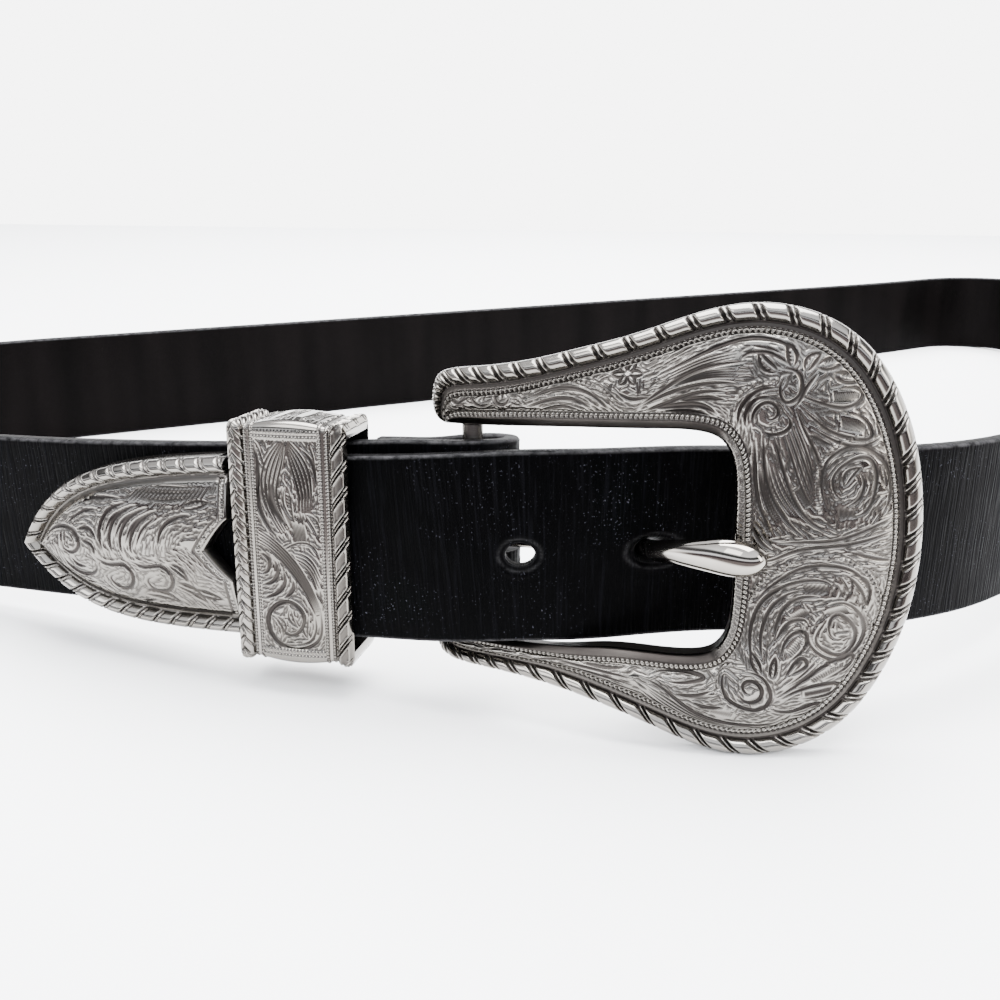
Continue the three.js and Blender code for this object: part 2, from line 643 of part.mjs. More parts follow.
// The keeper hangs a little askew on the strap, so it has its own directions. Heights are from its middle.
function keeperAxes() {
  const frame = frameFromEnd(KEEPER.fromEnd);
  const out = frame.out.clone().applyAxisAngle(frame.up, KEEPER_TWIST);
  const level = frame.forward.clone().applyAxisAngle(frame.up, KEEPER_TWIST);
  return {
    place: onFrame(frame, 0, STRAP_WIDTH / 2 + KEEPER.rise),
    forward: level.applyAxisAngle(out, -KEEPER_TILT),
    up: frame.up.clone().applyAxisAngle(out, -KEEPER_TILT),
    out,
  };
}

function onKeeper(axes, out, up, along) {
  return axes.place.clone().addScaledVector(axes.out, out).addScaledVector(axes.up, up)
    .addScaledVector(axes.forward, along);
}

// The keeper's outline at one place across its width: a box with rounded corners, in by so much.
function keeperRing(axes, along, inset, dome) {
  const high = KEEPER.height / 2 - inset;
  const front = KEEPER.front - inset;
  const back = KEEPER.front - KEEPER.depth + inset;
  const r = KEEPER.corner;
  const s = KEEPER.bevel;
  const middle = (front + back) / 2;
  const upper = [[front + dome, 0], [front, high - r], [front - s, high - s], [front - r, high],
    [middle, high + dome * KEEPER.topDome], [back + r, high], [back + s, high - s], [back, high - r]];
  const lower = [[back, 0], ...upper.slice(1).reverse().map(([out, up]) => [out, -up])];
  return [...upper, ...lower].map(([out, up]) => onKeeper(axes, out, up, along));
}

const KEEPER_ROWS = [
  { across: -1, inset: 0.9, dome: 0 },
  { across: -0.98, inset: 0.3, dome: 0 },
  { across: -0.91, inset: 0, dome: 0 },
  { across: -0.8, inset: 0, dome: 0 },
  { across: -0.72, inset: 0.8, dome: 0 },
  { across: -0.66, inset: 1.1, dome: 0 },
  { across: -0.4, inset: 0.5, dome: 0.2 },
  { across: 0, inset: 0.2, dome: 0.4 },
];

function keeperSolid() {
  const axes = keeperAxes();
  const mirrored = KEEPER_ROWS.slice(0, -1).reverse().map((row) => ({ ...row, across: -row.across }));
  const rows = [...KEEPER_ROWS, ...mirrored];
  const half = KEEPER.width / 2;
  const outer = loft(rows.map(({ across, inset, dome }) => keeperRing(axes, across * half, inset, dome)));
  const high = KEEPER.height / 2 - KEEPER.wallHeight;
  const front = KEEPER.front - KEEPER.wallDepth;
  const back = KEEPER.front - KEEPER.depth + KEEPER.wallDepth;
  const inner = loft([-1, 1].map((side) => [[front, -high], [front, high], [back, high], [back, -high]]
    .map(([out, up]) => onKeeper(axes, out, up, side * KEEPER.width))));
  return subtractAll(toSolid(outer).subtract(toSolid(inner)), keeperCuts(axes));
}

// The V cuts of the two rope ridges, on each of the keeper's four sides.
function keeperCuts(axes) {
  const high = KEEPER.height / 2;
  const back = KEEPER.front - KEEPER.depth;
  const inward = KEEPER.corner;
  const sides = [
    { from: [KEEPER.front, inward - high], to: [KEEPER.front, high - inward], out: axes.out },
    { from: [KEEPER.front - inward, high], to: [back + inward, high], out: axes.up },
    { from: [back, high - inward], to: [back, inward - high], out: axes.out.clone().negate() },
    { from: [back + inward, -high], to: [KEEPER.front - inward, -high], out: axes.up.clone().negate() },
  ];
  return sides.flatMap(({ from, to, out }) => [-1, 1].flatMap((side) => {
    const along = side * KEEPER.ridge * (KEEPER.width / 2);
    const a = onKeeper(axes, ...from, along);
    const b = onKeeper(axes, ...to, along);
    const steps = 80;
    const points = Array.from({ length: steps + 1 }, (_, i) => a.clone().lerp(b, i / steps));
    return ropeCuts(points, points.map(() => out), KEEPER.pitch, side * KEEPER.slant, KEEPER.cut);
  }));
}

// Share of the cap's full relief at a distance from its point, and the width of its raised edge there.
function tipSize(distance) {
  const half = archHalf(distance);
  return { half, size: Math.min(1, half / TIP.fullFrom), rim: Math.min(TIP.rim, TIP.rimShare * half) };
}

// The raised edge's section: shares of its width in from the outside, and of its height.
const TIP_EDGE_ROWS = [
  { inward: 0, height: 0 },
  { inward: 0.12, height: 0.8 },
  { inward: TIP.crest, height: 1 },
  { inward: 0.78, height: 0.75 },
];
const TIP_FIELD_SHARES = [0.72, 0.38, 0];
const TIP_FACE = STRAP_THICK / 2 + TOUCH_GAP;

// The cap's section at a distance from its point: a raised rope edge above and below a domed field.
function tipRing(distance) {
  const frame = frameFromEnd(distance);
  const { half, size, rim } = tipSize(distance);
  const crest = TIP.wall + TIP.rope * size;
  const foot = TIP_FACE + TIP.wall * size;
  const field = half - rim;
  const edge = TIP_EDGE_ROWS.map(({ inward, height }) => [half - inward * rim, TIP_FACE + height * crest]);
  const front = TIP_FIELD_SHARES.map((f) => [field * f, foot + TIP.dome * size * Math.cos((Math.PI / 2) * f)]);
  const upper = [[half, -TIP.back], ...edge, [field, foot], ...front];
  const lower = upper.slice(0, -1).map(([up, out]) => [-up, out]).reverse();
  return [...upper, ...lower].map(([up, out]) => onFrame(frame, out, STRAP_WIDTH / 2 + up));
}

function tipHollow() {
  const steps = TIP_STEPS.filter((d) => d > TIP.hollowFrom && d < TIP_LENGTH);
  return toSolid(loft([...steps, TIP_LENGTH + 1].map((d) => {
    const half = archHalf(d) - TIP.wall;
    const frame = frameFromEnd(d);
    return [[half, -TIP_FACE], [half, TIP_FACE], [-half, TIP_FACE], [-half, -TIP_FACE]]
      .map(([up, out]) => onFrame(frame, out, STRAP_WIDTH / 2 + up));
  })));
}

function tipCuts() {
  const steps = 160;
  const first = TIP_STEPS[2];
  const crests = Array.from({ length: steps }, (_, i) => first + ((TIP_LENGTH - first) * i) / steps);
  return [-1, 1].flatMap((side) => {
    const points = crests.map((d) => {
      const { half, size, rim } = tipSize(d);
      const up = half - TIP.crest * rim;
      return onFrame(frameFromEnd(d), TIP_FACE + TIP.wall + TIP.rope * size, STRAP_WIDTH / 2 + side * up);
    });
    return ropeCuts(points, crests.map((d) => frameFromEnd(d).out), TIP.pitch, side * ROPE.slant, TIP.cut);
  });
}

function tipSolid() {
  const outer = toSolid(loft(TIP_STEPS.map(tipRing)));
  return subtractAll(outer.subtract(tipHollow()).subtract(notchCutter()), tipCuts());
}

// The V notch in the middle of the cap's front edge.
function notchCutter() {
  const past = 1;
  const wide = TIP.notchHalf * (1 + past / TIP.notchDeep);
  const corners = [[TIP_LENGTH - TIP.notchDeep, 0], [TIP_LENGTH + past, wide], [TIP_LENGTH + past, -wide]];
  const reach = TIP_FACE + TIP.wall + TIP.rope + TIP.dome;
  return toSolid(loft([0, reach].map((out) => corners
    .map(([d, up]) => onFrame(frameFromEnd(d), out, STRAP_WIDTH / 2 + up)))));
}

function piece(name, solid, material) {
  const mesh = new THREE.Mesh(toGeometry(solid), material);
  mesh.name = name;
  return mesh;
}

const leather = () => new THREE.MeshStandardMaterial({ color: 0x151517, roughness: 0.55, metalness: 0 });
const chrome = () => new THREE.MeshStandardMaterial({ color: 0xc8c5bf, roughness: 0.16, metalness: 1 });

// The belt is tipped back until the buckle's rim and the far side of the strap stand on one floor.
const tiltAxis = new THREE.Vector3(Math.cos(FAR_SIDE_HEADING), Math.sin(FAR_SIDE_HEADING), 0);
const tipped = new THREE.Quaternion().setFromAxisAngle(tiltAxis, -TILT);
const floorUp = new THREE.Vector3(0, 0, 1).applyQuaternion(tipped.clone().invert());

function lowestAlong(solid, direction) {
  const points = toGeometry(solid).attributes.position;
  const point = new THREE.Vector3();
  let low = Infinity;
  for (let i = 0; i < points.count; i += 1) {
    low = Math.min(low, point.fromBufferAttribute(points, i).dot(direction));
  }
  return low;
}

// Leather gives a little where it rests, so the strap's lower edge is flat where it meets the floor.
function restOnFloor(strap, buckle) {
  return strap.trimByPlane(floorUp.toArray(), lowestAlong(buckle, floorUp));
}

const buckle = frameSolid();
const belt = new THREE.Group();
belt.add(piece('strap', restOnFloor(strapSolid(), buckle), leather()));
belt.add(piece('buckle_frame', buckle, chrome()));
belt.add(piece('prong', prongSolid(), chrome()));
belt.add(piece('keeper', keeperSolid(), chrome()));
belt.add(piece('tip', tipSolid(), chrome()));
belt.add(piece('chape_screw_lower', screwSolid(SCREW.heights[0]), chrome()));
belt.add(piece('chape_screw_upper', screwSolid(SCREW.heights[1]), chrome()));

// The origin is in the middle of the belt's footprint, on the floor.
belt.quaternion.copy(tipped);
belt.updateMatrixWorld(true);
const extent = new THREE.Box3().setFromObject(belt, true);
const middle = extent.getCenter(new THREE.Vector3());
belt.position.set(-middle.x, -middle.y, -extent.min.z);

export default belt;
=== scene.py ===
import math

import bpy
import numpy as np
from mathutils import Matrix

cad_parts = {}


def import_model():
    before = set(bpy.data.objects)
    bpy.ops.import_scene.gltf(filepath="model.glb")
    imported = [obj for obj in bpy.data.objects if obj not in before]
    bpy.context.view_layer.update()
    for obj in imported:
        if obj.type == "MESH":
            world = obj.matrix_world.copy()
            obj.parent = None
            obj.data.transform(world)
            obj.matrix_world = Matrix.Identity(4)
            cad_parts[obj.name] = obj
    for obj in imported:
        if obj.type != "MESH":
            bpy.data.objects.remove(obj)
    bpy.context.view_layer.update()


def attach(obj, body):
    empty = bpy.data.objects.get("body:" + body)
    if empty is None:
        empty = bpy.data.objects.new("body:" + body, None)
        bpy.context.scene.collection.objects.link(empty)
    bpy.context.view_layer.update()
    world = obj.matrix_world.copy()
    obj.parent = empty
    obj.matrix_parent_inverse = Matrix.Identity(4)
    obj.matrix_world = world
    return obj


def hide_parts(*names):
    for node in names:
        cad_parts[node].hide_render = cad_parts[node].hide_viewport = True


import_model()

# A western belt, fastened and standing on its edge. Shapes are worked out in millimetres in the belt's own
# directions (strap level, buckle facing -Y) and are tipped onto the floor by to_row().

WIDTH = 33.0
THICK = 3.0
TIP_DEGREES = -2.93
TIP_HEADING = 25.0
MOVE = np.array([-32.5418, -160.3455, 10.5247])


def turn_about(axis, degrees):
    x, y, z = axis
    cross = np.array([[0, -z, y], [z, 0, -x], [-y, x, 0]])
    angle = math.radians(degrees)
    return np.eye(3) + math.sin(angle) * cross + (1 - math.cos(angle)) * cross @ cross


HEADING = math.radians(TIP_HEADING)
TIPPED = turn_about((math.cos(HEADING), math.sin(HEADING), 0), TIP_DEGREES)


def to_row(points):
    """Belt millimetres to the row frame in metres."""
    return (np.asarray(points) @ TIPPED.T + MOVE) / 1000


# Smooth curves

def control_rows(rows):
    rows = np.asarray(rows, float)
    control = rows.copy()
    for _ in range(30):
        padded = np.vstack([2 * control[0] - control[1], control, 2 * control[-1] - control[-2]])
        control = control + rows - (padded[:-2] + 4 * padded[1:-1] + padded[2:]) / 6
    return control


def smooth_curve(rows, steps):
    """A cubic spline with equal steps, through every row."""
    control = control_rows(rows)
    padded = np.vstack([2 * control[0] - control[1], control, 2 * control[-1] - control[-2]])
    t = np.arange((len(control) - 1) * steps + 1) / steps
    i = np.minimum(t.astype(int), len(control) - 2)
    f = (t - i)[:, None]
    g = 1 - f
    weights = (g**3, 3 * f**3 - 6 * f**2 + 4, 3 * g**3 - 6 * g**2 + 4, f**3)
    return sum(w * padded[i + k] for k, w in enumerate(weights)) / 6


def lengths(points):
    return np.concatenate([[0], np.cumsum(np.linalg.norm(np.diff(points, axis=0), axis=1))])


def at_lengths(rows, along, wanted):
    return np.stack([np.interp(wanted, along, column) for column in rows.T], axis=1)


def evenly(rows, step, axes=None):
    along = lengths(rows[:, :axes] if axes else rows)
    count = max(2, int(round(along[-1] / step)) + 1)
    return at_lengths(rows, along, np.linspace(0, along[-1], count))


def blurred(rows, reach):
    """Averages each row with its neighbours; the ends stay where they are."""
    kernel = np.exp(-0.5 * (np.arange(-3 * reach, 3 * reach + 1) / reach) ** 2)
    kernel /= kernel.sum()
    before = 2 * rows[0] - rows[3 * reach:0:-1]
    after = 2 * rows[-1] - rows[-2:-3 * reach - 2:-1]
    padded = np.vstack([before, rows, after])
    return np.stack([np.convolve(column, kernel, "valid") for column in padded.T], axis=1)


def unit(vectors):
    return vectors / np.linalg.norm(vectors, axis=-1, keepdims=True)


def ramp(value, low, high):
    """0 below low, 1 above high and smooth between."""
    t = np.clip((value - low) / (high - low), 0, 1)
    return t * t * (3 - 2 * t)


# The strap's middle line seen from above: x, y, height of the lower edge, and degrees of lean.
BODY_ROWS = [
    (-2, 3.85, 4.83, 6.5), (-6, 3.9, 4.75, 6.5), (-11, 5.1, 4.6, 5.8), (-18, 8, 4.1, 4.6),
    (-34, 12.9, 2.7, 3.2), (-60, 22.4, 0.7, 1.5), (-90, 33.6, -1, 0), (-123, 45, -1.4, 0),
    (-151, 60, -1, 0), (-172, 82, -0.5, 0), (-181, 110, 0, 0), (-176, 136, 0, 0), (-158, 154.5, 0, 0),
    (-128, 170.3, 0, 0), (-60, 202, 0, 0), (20, 239.5, 0, 0), (100, 276.6, 0, 0), (168, 308, 0, 0),
    (200, 326, 0, 0), (219, 333.5, 0, 0), (237, 327, 0, 0), (246, 308, 0, 0), (243, 280, 0, 0),
    (219, 228, 0, 0), (185, 165, 0, 0), (152, 104, 0, 0), (124, 54, 0.2, 0), (96, 23.4, 0.3, 0.3),
    (64, 7.6, 2.1, 1.8), (36, 4, 3.4, 3), (18, 0.2, 4.1, 4), (5, -0.9, 4.3, 4.3), (-8, 0.7, 3.5, 4.2),
    (-19, 4.1, 2.4, 3.6), (-36, 9.3, 1.25, 2.6), (-62, 17.8, -0.8, 1), (-92.6, 28.7, -3.4, 0),
]
RETURN_ROWS = [
    (-20.8, 12.65, 3.4, 4.6), (-17, 11.4, 3.6, 5), (-12.5, 10.4, 3.7, 5.6), (-8, 10.9, 3.8, 6.3),
    (-5, 11.7, 3.9, 6.5), (-2, 12.05, 3.9, 6.5),
]
FOLD = {"x": -2.0, "y": 7.95, "lift": 4.37, "radius": 4.1, "lean": 6.5}
ROUTE_STEP = 0.25


def fold_rows(steps=60):
    angle = math.pi / 2 - math.pi * np.arange(1, steps) / steps
    across = FOLD["radius"] * np.sin(angle)
    lean = math.radians(FOLD["lean"])
    return np.stack([
        FOLD["x"] + FOLD["radius"] * np.cos(angle),
        FOLD["y"] + across * math.cos(lean),
        FOLD["lift"] - across * math.sin(lean),
        np.full(steps - 1, FOLD["lean"]),
    ], axis=1)


class Route:
    """The strap's line with its section's directions, at even steps."""

    def __init__(self):
        rows = np.vstack([smooth_curve(RETURN_ROWS, 60), fold_rows(), smooth_curve(BODY_ROWS, 80)])
        rows = blurred(evenly(rows, ROUTE_STEP, 3), 3)
        self.place = rows[:, :3] + [0, 0, WIDTH / 2]
        self.along = lengths(self.place)
        self.length = self.along[-1]
        self.forward = unit(np.gradient(self.place, axis=0))
        up = np.stack([np.zeros(len(rows)), np.tan(np.radians(rows[:, 3])), np.ones(len(rows))], axis=1)
        up -= (up * self.forward).sum(1, keepdims=True) * self.forward
        self.up = unit(up)
        self.out = np.cross(self.up, self.forward)
        self.fold = np.argmax(self.place[:400, 0])

    def frames(self, along):
        """Place, forward, up and out at distances along the strap."""
        place = at_lengths(self.place, self.along, along)
        return (place, *(unit(at_lengths(v, self.along, along)) for v in (self.forward, self.up, self.out)))

    def on(self, along, out, up):
        """Points at distances along the strap, out of its middle line and up from its lower edge."""
        place, _, ups, outs = self.frames(np.ravel(along))
        return place + outs * np.ravel(out)[:, None] + ups * (np.ravel(up)[:, None] - WIDTH / 2)


ROUTE = Route()


# Meshes

NO_FACES = np.zeros((0, 3), int)


def signed_volume(points, quads, triangles):
    faces = np.vstack([quads[:, [0, 1, 2]], quads[:, [0, 2, 3]], triangles.reshape(-1, 3)])
    a, b, c = (points[faces[:, k]] for k in range(3))
    return (a * np.cross(b, c)).sum() / 6


def vertex_normals(points, quads, triangles):
    normals = np.zeros_like(points)
    for faces in (quads, triangles):
        if len(faces) == 0:
            continue
        face = np.cross(points[faces[:, 2]] - points[faces[:, 0]], points[faces[:, -1]] - points[faces[:, 1]])
        for k in range(faces.shape[1]):
            np.add.at(normals, faces[:, k], face)
    return unit(normals + 1e-12)


def make_piece(name, points, quads, triangles, look, nodes, marks, sharp=None, normals=None):
    """A closed mesh that rides on the belt's one body. marks are values for its material at each vertex."""
    points = np.asarray(points, float)
    quads = np.asarray(quads, int).reshape(-1, 4)
    triangles = np.asarray(triangles, int).reshape(-1, 3)
    if signed_volume(points, quads, triangles) < 0:
        quads = quads[:, ::-1]
        triangles = triangles[:, ::-1]
    placed = to_row(points)
    placed[:, 2] = np.maximum(placed[:, 2], 0)
    mesh = bpy.data.meshes.new(name)
    mesh.vertices.add(len(placed))
    mesh.vertices.foreach_set("co", placed.ravel())
    corners = np.concatenate([quads.ravel(), triangles.ravel()])
    mesh.loops.add(len(corners))
    mesh.loops.foreach_set("vertex_index", corners)
    starts = np.concatenate([np.arange(len(quads)) * 4, len(quads) * 4 + np.arange(len(triangles)) * 3])
    mesh.polygons.add(len(starts))
    mesh.polygons.foreach_set("loop_start", starts)
    mesh.update(calc_edges=True)
    mesh.validate()
    for mark, values in marks.items():
        values = np.asarray(values, float)
        kind, key = ("FLOAT", "value") if values.ndim == 1 else ("FLOAT_VECTOR", "vector")
        mesh.attributes.new(mark, kind, "POINT").data.foreach_set(key, values.ravel())
    mesh.shade_smooth()
    if sharp is not None:
        mesh.set_sharp_from_angle(angle=math.radians(sharp))
    if normals is not None:
        mesh.normals_split_custom_set_from_vertices((normals @ TIPPED.T).tolist())
    piece = bpy.data.objects.new(name, mesh)
    bpy.context.scene.collection.objects.link(piece)
    material, slot = look
    mesh.materials.append(material)
    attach(piece, "root")
    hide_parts(*nodes)


def grid_quads(rows, columns, wrap_rows=False):
    """Faces of a tube of rings whose points are numbered ring by ring."""
    i, j = np.meshgrid(np.arange(rows if wrap_rows else rows - 1), np.arange(columns), indexing="ij")
    i, j = i.ravel(), j.ravel()
    nexti, nextj = (i + 1) % rows, (j + 1) % columns
    corners = (i, j), (i, nextj), (nexti, nextj), (nexti, j)
    return np.stack([a * columns + b for a, b in corners], axis=1)


def capped(points, rows, columns):
    """Closes both ends of a tube of rings with fans. Returns the points and the fans' triangles."""
    last = (rows - 1) * columns
    hubs = [points[:columns].mean(0), points[last:last + columns].mean(0)]
    k = np.arange(columns)
    first = np.stack([(k + 1) % columns, k, np.full(columns, len(points))], axis=1)
    final = np.stack([last + k, last + (k + 1) % columns, np.full(columns, len(points) + 1)], axis=1)
    return np.vstack([points, hubs]), np.vstack([first, final])


def ladder(front, back, front_share, back_share):
    """Closes a flat end between its front and back rows of vertices, which both run the same way."""
    triangles = []
    b = 0
    for k in range(len(front) - 1):
        triangles.append((front[k], front[k + 1], back[b]))
        while b + 1 < len(back) and back_share[b + 1] <= front_share[k + 1] + 1e-9:
            triangles.append((front[k + 1], back[b + 1], back[b]))
            b += 1
    while b + 1 < len(back):
        triangles.append((front[-1], back[b + 1], back[b]))
        b += 1
    return np.array(triangles)


# Engraving: cuts and beads drawn on a flat patch and kept as height maps

GRAIN = 0.07
PEN_SHARE, PEN_LEAST = 0.72, 0.08
BOLD, FINE, TIP_BOLD = (0.95, 0.34), (0.45, 0.2), (1.15, 0.36)
FILLER = {"width": 0.4, "depth": 0.16, "reach": 4.5, "seed": 3}


def pairs(flat):
    """u, v, u, v and so on as rows of (u, v)."""
    return np.reshape(flat, (-1, 2)).astype(float)


class Relief:
    def __init__(self, low, high):
        self.low, self.high = np.array(low, float), np.array(high, float)
        shape = np.ceil((self.high - self.low) / GRAIN).astype(int) + 1
        self.cut, self.rise = np.zeros(shape), np.zeros(shape)
        self.strokes, self.dots = [], []

    def stroke(self, points, width, depth):
        """A graver's cut along a row of points, thin at both ends."""
        points = evenly(np.asarray(points, float), GRAIN)
        swell = np.sin(np.pi * np.clip(np.linspace(0, 1, len(points)), 0.02, 0.98)) ** 0.55
        half = width / 2 * swell * PEN_SHARE + PEN_LEAST
        self.strokes.append(np.column_stack([points, half, depth * swell]))

    def line(self, width, depth, *flat):
        points = pairs(flat)
        self.stroke(smooth_curve(points, 10) if len(points) > 2 else points, width, depth)

    def fill(self, spacing=0.8, length=1.9, clear=0.42):
        """Short cuts that run along with the nearest stroke, wherever the patch is still bare."""
        places = np.vstack([s[::3, :2] for s in self.strokes])
        ways = np.vstack([unit(np.gradient(s[:, :2], axis=0) + 1e-9)[::3] for s in self.strokes])
        rng = np.random.default_rng(FILLER["seed"])
        xs = np.arange(self.low[0], self.high[0], spacing)
        ys = np.arange(self.low[1], self.high[1], spacing * 0.87)
        grid = np.stack(np.meshgrid(xs, ys, indexing="ij"), -1)
        grid[:, 1::2, 0] += spacing / 2
        spots = grid.reshape(-1, 2)
        spots = spots + rng.normal(0, 0.12, spots.shape)
        for k in range(0, len(spots), 400):
            part = spots[k:k + 400]
            gap = np.linalg.norm(part[:, None] - places[None], axis=2)
            i = gap.argmin(1)
            for spot, way, away in zip(part, ways[i], gap[np.arange(len(i)), i]):
                if clear < away < FILLER["reach"]:
                    side = np.array([-way[1], way[0]])
                    half = length * (0.7 + 0.6 * rng.random()) / 2
                    bend = 0.16 * rng.normal()
                    curve = [spot - way * half, spot + side * bend, spot + way * half]
                    self.stroke(smooth_curve(curve, 6), FILLER["width"], FILLER["depth"])

    def beads(self, pitch, radius, height, *flat):
        points = evenly(smooth_curve(pairs(flat), 10), pitch)
        self.dots.append(np.column_stack([points, np.tile([radius, height], (len(points), 1))]))

    def bundle(self, count, width, depth, *guides):
        """Cuts that lie between two guide lines and fan from the one to the other."""
        guides = [evenly(smooth_curve(pairs(g), 12), 0.5) for g in guides]
        t = np.linspace(0, 1, max(len(g) for g in guides))
        first, last = (at_lengths(g, np.linspace(0, 1, len(g)), t) for g in guides)
        count = round(count * 1.3)
        for k in range(count):
            f = k / (count - 1)
            self.stroke(first * (1 - f) + last * f, width, depth)

    def leaf(self, base_u, base_v, tip_u, tip_v, belly, veins=5, width=0.45, depth=0.2, bend=0.0):
        """A pointed leaf from base to tip with short shading cuts along one side."""
        base = np.array([base_u, base_v], float)
        along = np.array([tip_u, tip_v], float) - base
        size = np.linalg.norm(along)
        side = np.array([-along[1], along[0]]) / size
        t = np.linspace(0, 1, 24)[:, None]
        spine = base + along * t + side * (bend * size * 4 * t * (1 - t))
        swell = belly * np.sin(np.pi * t**0.8) * (1 - 0.25 * t)
        upper = spine + side * swell
        self.stroke(upper, width, depth)
        self.stroke(spine - side * swell * 0.7, width, depth)
        for k in range(veins):
            i = int((0.22 + 0.6 * k / max(veins - 1, 1)) * 23)
            j = min(i + 3, 23)
            vein = [spine[i] * 0.75 + upper[i] * 0.25, upper[j] * 0.9 + spine[j] * 0.1]
            self.stroke(vein, 0.32, depth * 0.7)

    def hatch(self, count, width, depth, *corners):
        """Short straight cuts side by side in a four-cornered patch."""
        a, b, c, d = pairs(corners)
        count = round(count * 1.4)
        for k in range(count):
            f = (k + 0.5) / count
            self.stroke([a + (b - a) * f, d + (c - d) * f], width, depth)

    def draw(self):
        self._stamp(self.cut, self.strokes, 0.9)
        self._stamp(self.rise, self.dots, 0.5)
        return self

    def _stamp(self, layer, rows, power):
        if not rows:
            return
        rows = np.vstack(rows)
        reach = int(math.ceil(rows[:, 2].max() / GRAIN))
        base = np.rint((rows[:, :2] - self.low) / GRAIN).astype(int)
        for dx in range(-reach, reach + 1):
            for dy in range(-reach, reach + 1):
                cell = base + (dx, dy)
                away = np.hypot(*(cell * GRAIN + self.low - rows[:, :2]).T) / rows[:, 2]
                fits = (away < 1) & (cell >= 0).all(1) & (cell < layer.shape).all(1)
                value = rows[:, 3] * np.clip(1 - away * away, 0, 1) ** power
                np.maximum.at(layer, (cell[fits, 0], cell[fits, 1]), value[fits])

    def marks(self, points, inside, share=1):
        """Depth of the cuts and height of the beads at points, 0 where not inside."""
        return [np.where(inside, self.look(layer, points) * share, 0) for layer in (self.cut, self.rise)]

    def look(self, layer, points):
        """The layer's height at points, between its cells."""
        at = (np.asarray(points) - self.low) / GRAIN
        at = np.clip(at, 0, np.array(layer.shape) - 1.001)
        i = at.astype(int)
        f = at - i
        x, y = i[..., 0], i[..., 1]
        fx, fy = f[..., 0], f[..., 1]
        low = layer[x, y] * (1 - fx) + layer[x + 1, y] * fx
        high = layer[x, y + 1] * (1 - fx) + layer[x + 1, y + 1] * fx
        return low * (1 - fy) + high * fy


# Materials

class Tree:
    """A short way to write a node tree."""

    def __init__(self, owner):
        owner.use_nodes = True
        self.nodes, self.links = owner.node_tree.nodes, owner.node_tree.links

    def node(self, kind, values=None, **settings):
        node = self.nodes.new("ShaderNode" + kind)
        for key, value in settings.items():
            setattr(node, key, value)
        for key, value in (values or {}).items():
            if isinstance(value, bpy.types.NodeSocket):
                self.links.new(value, node.inputs[key])
            else:
                node.inputs[key].default_value = value
        return node

    def mark(self, name):
        return self.node("Attribute", attribute_name=name)

    def noise(self, vector, scale, detail=3.0, rough=0.5):
        node = self.node("TexNoise", {"Vector": vector, "Scale": scale, "Detail": detail, "Roughness": rough})
        return node.outputs["Fac"]

    def math(self, operation, a, b=0.0, clamp=False):
        return self.node("Math", {0: a, 1: b}, operation=operation, use_clamp=clamp).outputs[0]

    def scaled(self, vector, x, y, z):
        return self.node("VectorMath", {0: vector, 1: (x, y, z)}, operation="MULTIPLY").outputs[0]

    def between(self, value, low, high, to_low=0.0, to_high=1.0):
        node = self.node("MapRange", {"Value": value, "From Min": low, "From Max": high,
                                      "To Min": to_low, "To Max": to_high})
        return node.outputs[0]

    def mixed(self, factor, a, b):
        node = self.node("Mix", {0: factor, 6: a, 7: b}, data_type="RGBA")
        return node.outputs[2]

    def bump(self, height, strength, distance, normal=None):
        values = {"Height": height, "Strength": strength, "Distance": distance}
        if normal is not None:
            values["Normal"] = normal
        return self.node("Bump", values).outputs[0]


class Shader(Tree):
    def __init__(self, name):
        self.material = bpy.data.materials.new(name)
        super().__init__(self.material)
        self.nodes.clear()
        self.bsdf = self.node("BsdfPrincipled")
        self.node("OutputMaterial", {0: self.bsdf.outputs[0]})

    def set(self, **sockets):
        for name, value in sockets.items():
            socket = self.bsdf.inputs[name.replace("_", " ").title()]
            if isinstance(value, bpy.types.NodeSocket):
                self.links.new(value, socket)
            else:
                socket.default_value = value


INNER_LEATHER = (0.0010, 0.0008, 0.0008, 1), (0.0022, 0.0017, 0.0017, 1)
# The outer side's black, and a lighter bluish end that paints a highlight on the ribs.
OUTER_LEATHER_AND_RIB_SHEEN = (0.0002, 0.0002, 0.0003, 1), (0.0015, 0.0015, 0.0020, 1)
PLATING = (0.27, 0.25, 0.222), (0.37, 0.348, 0.318)


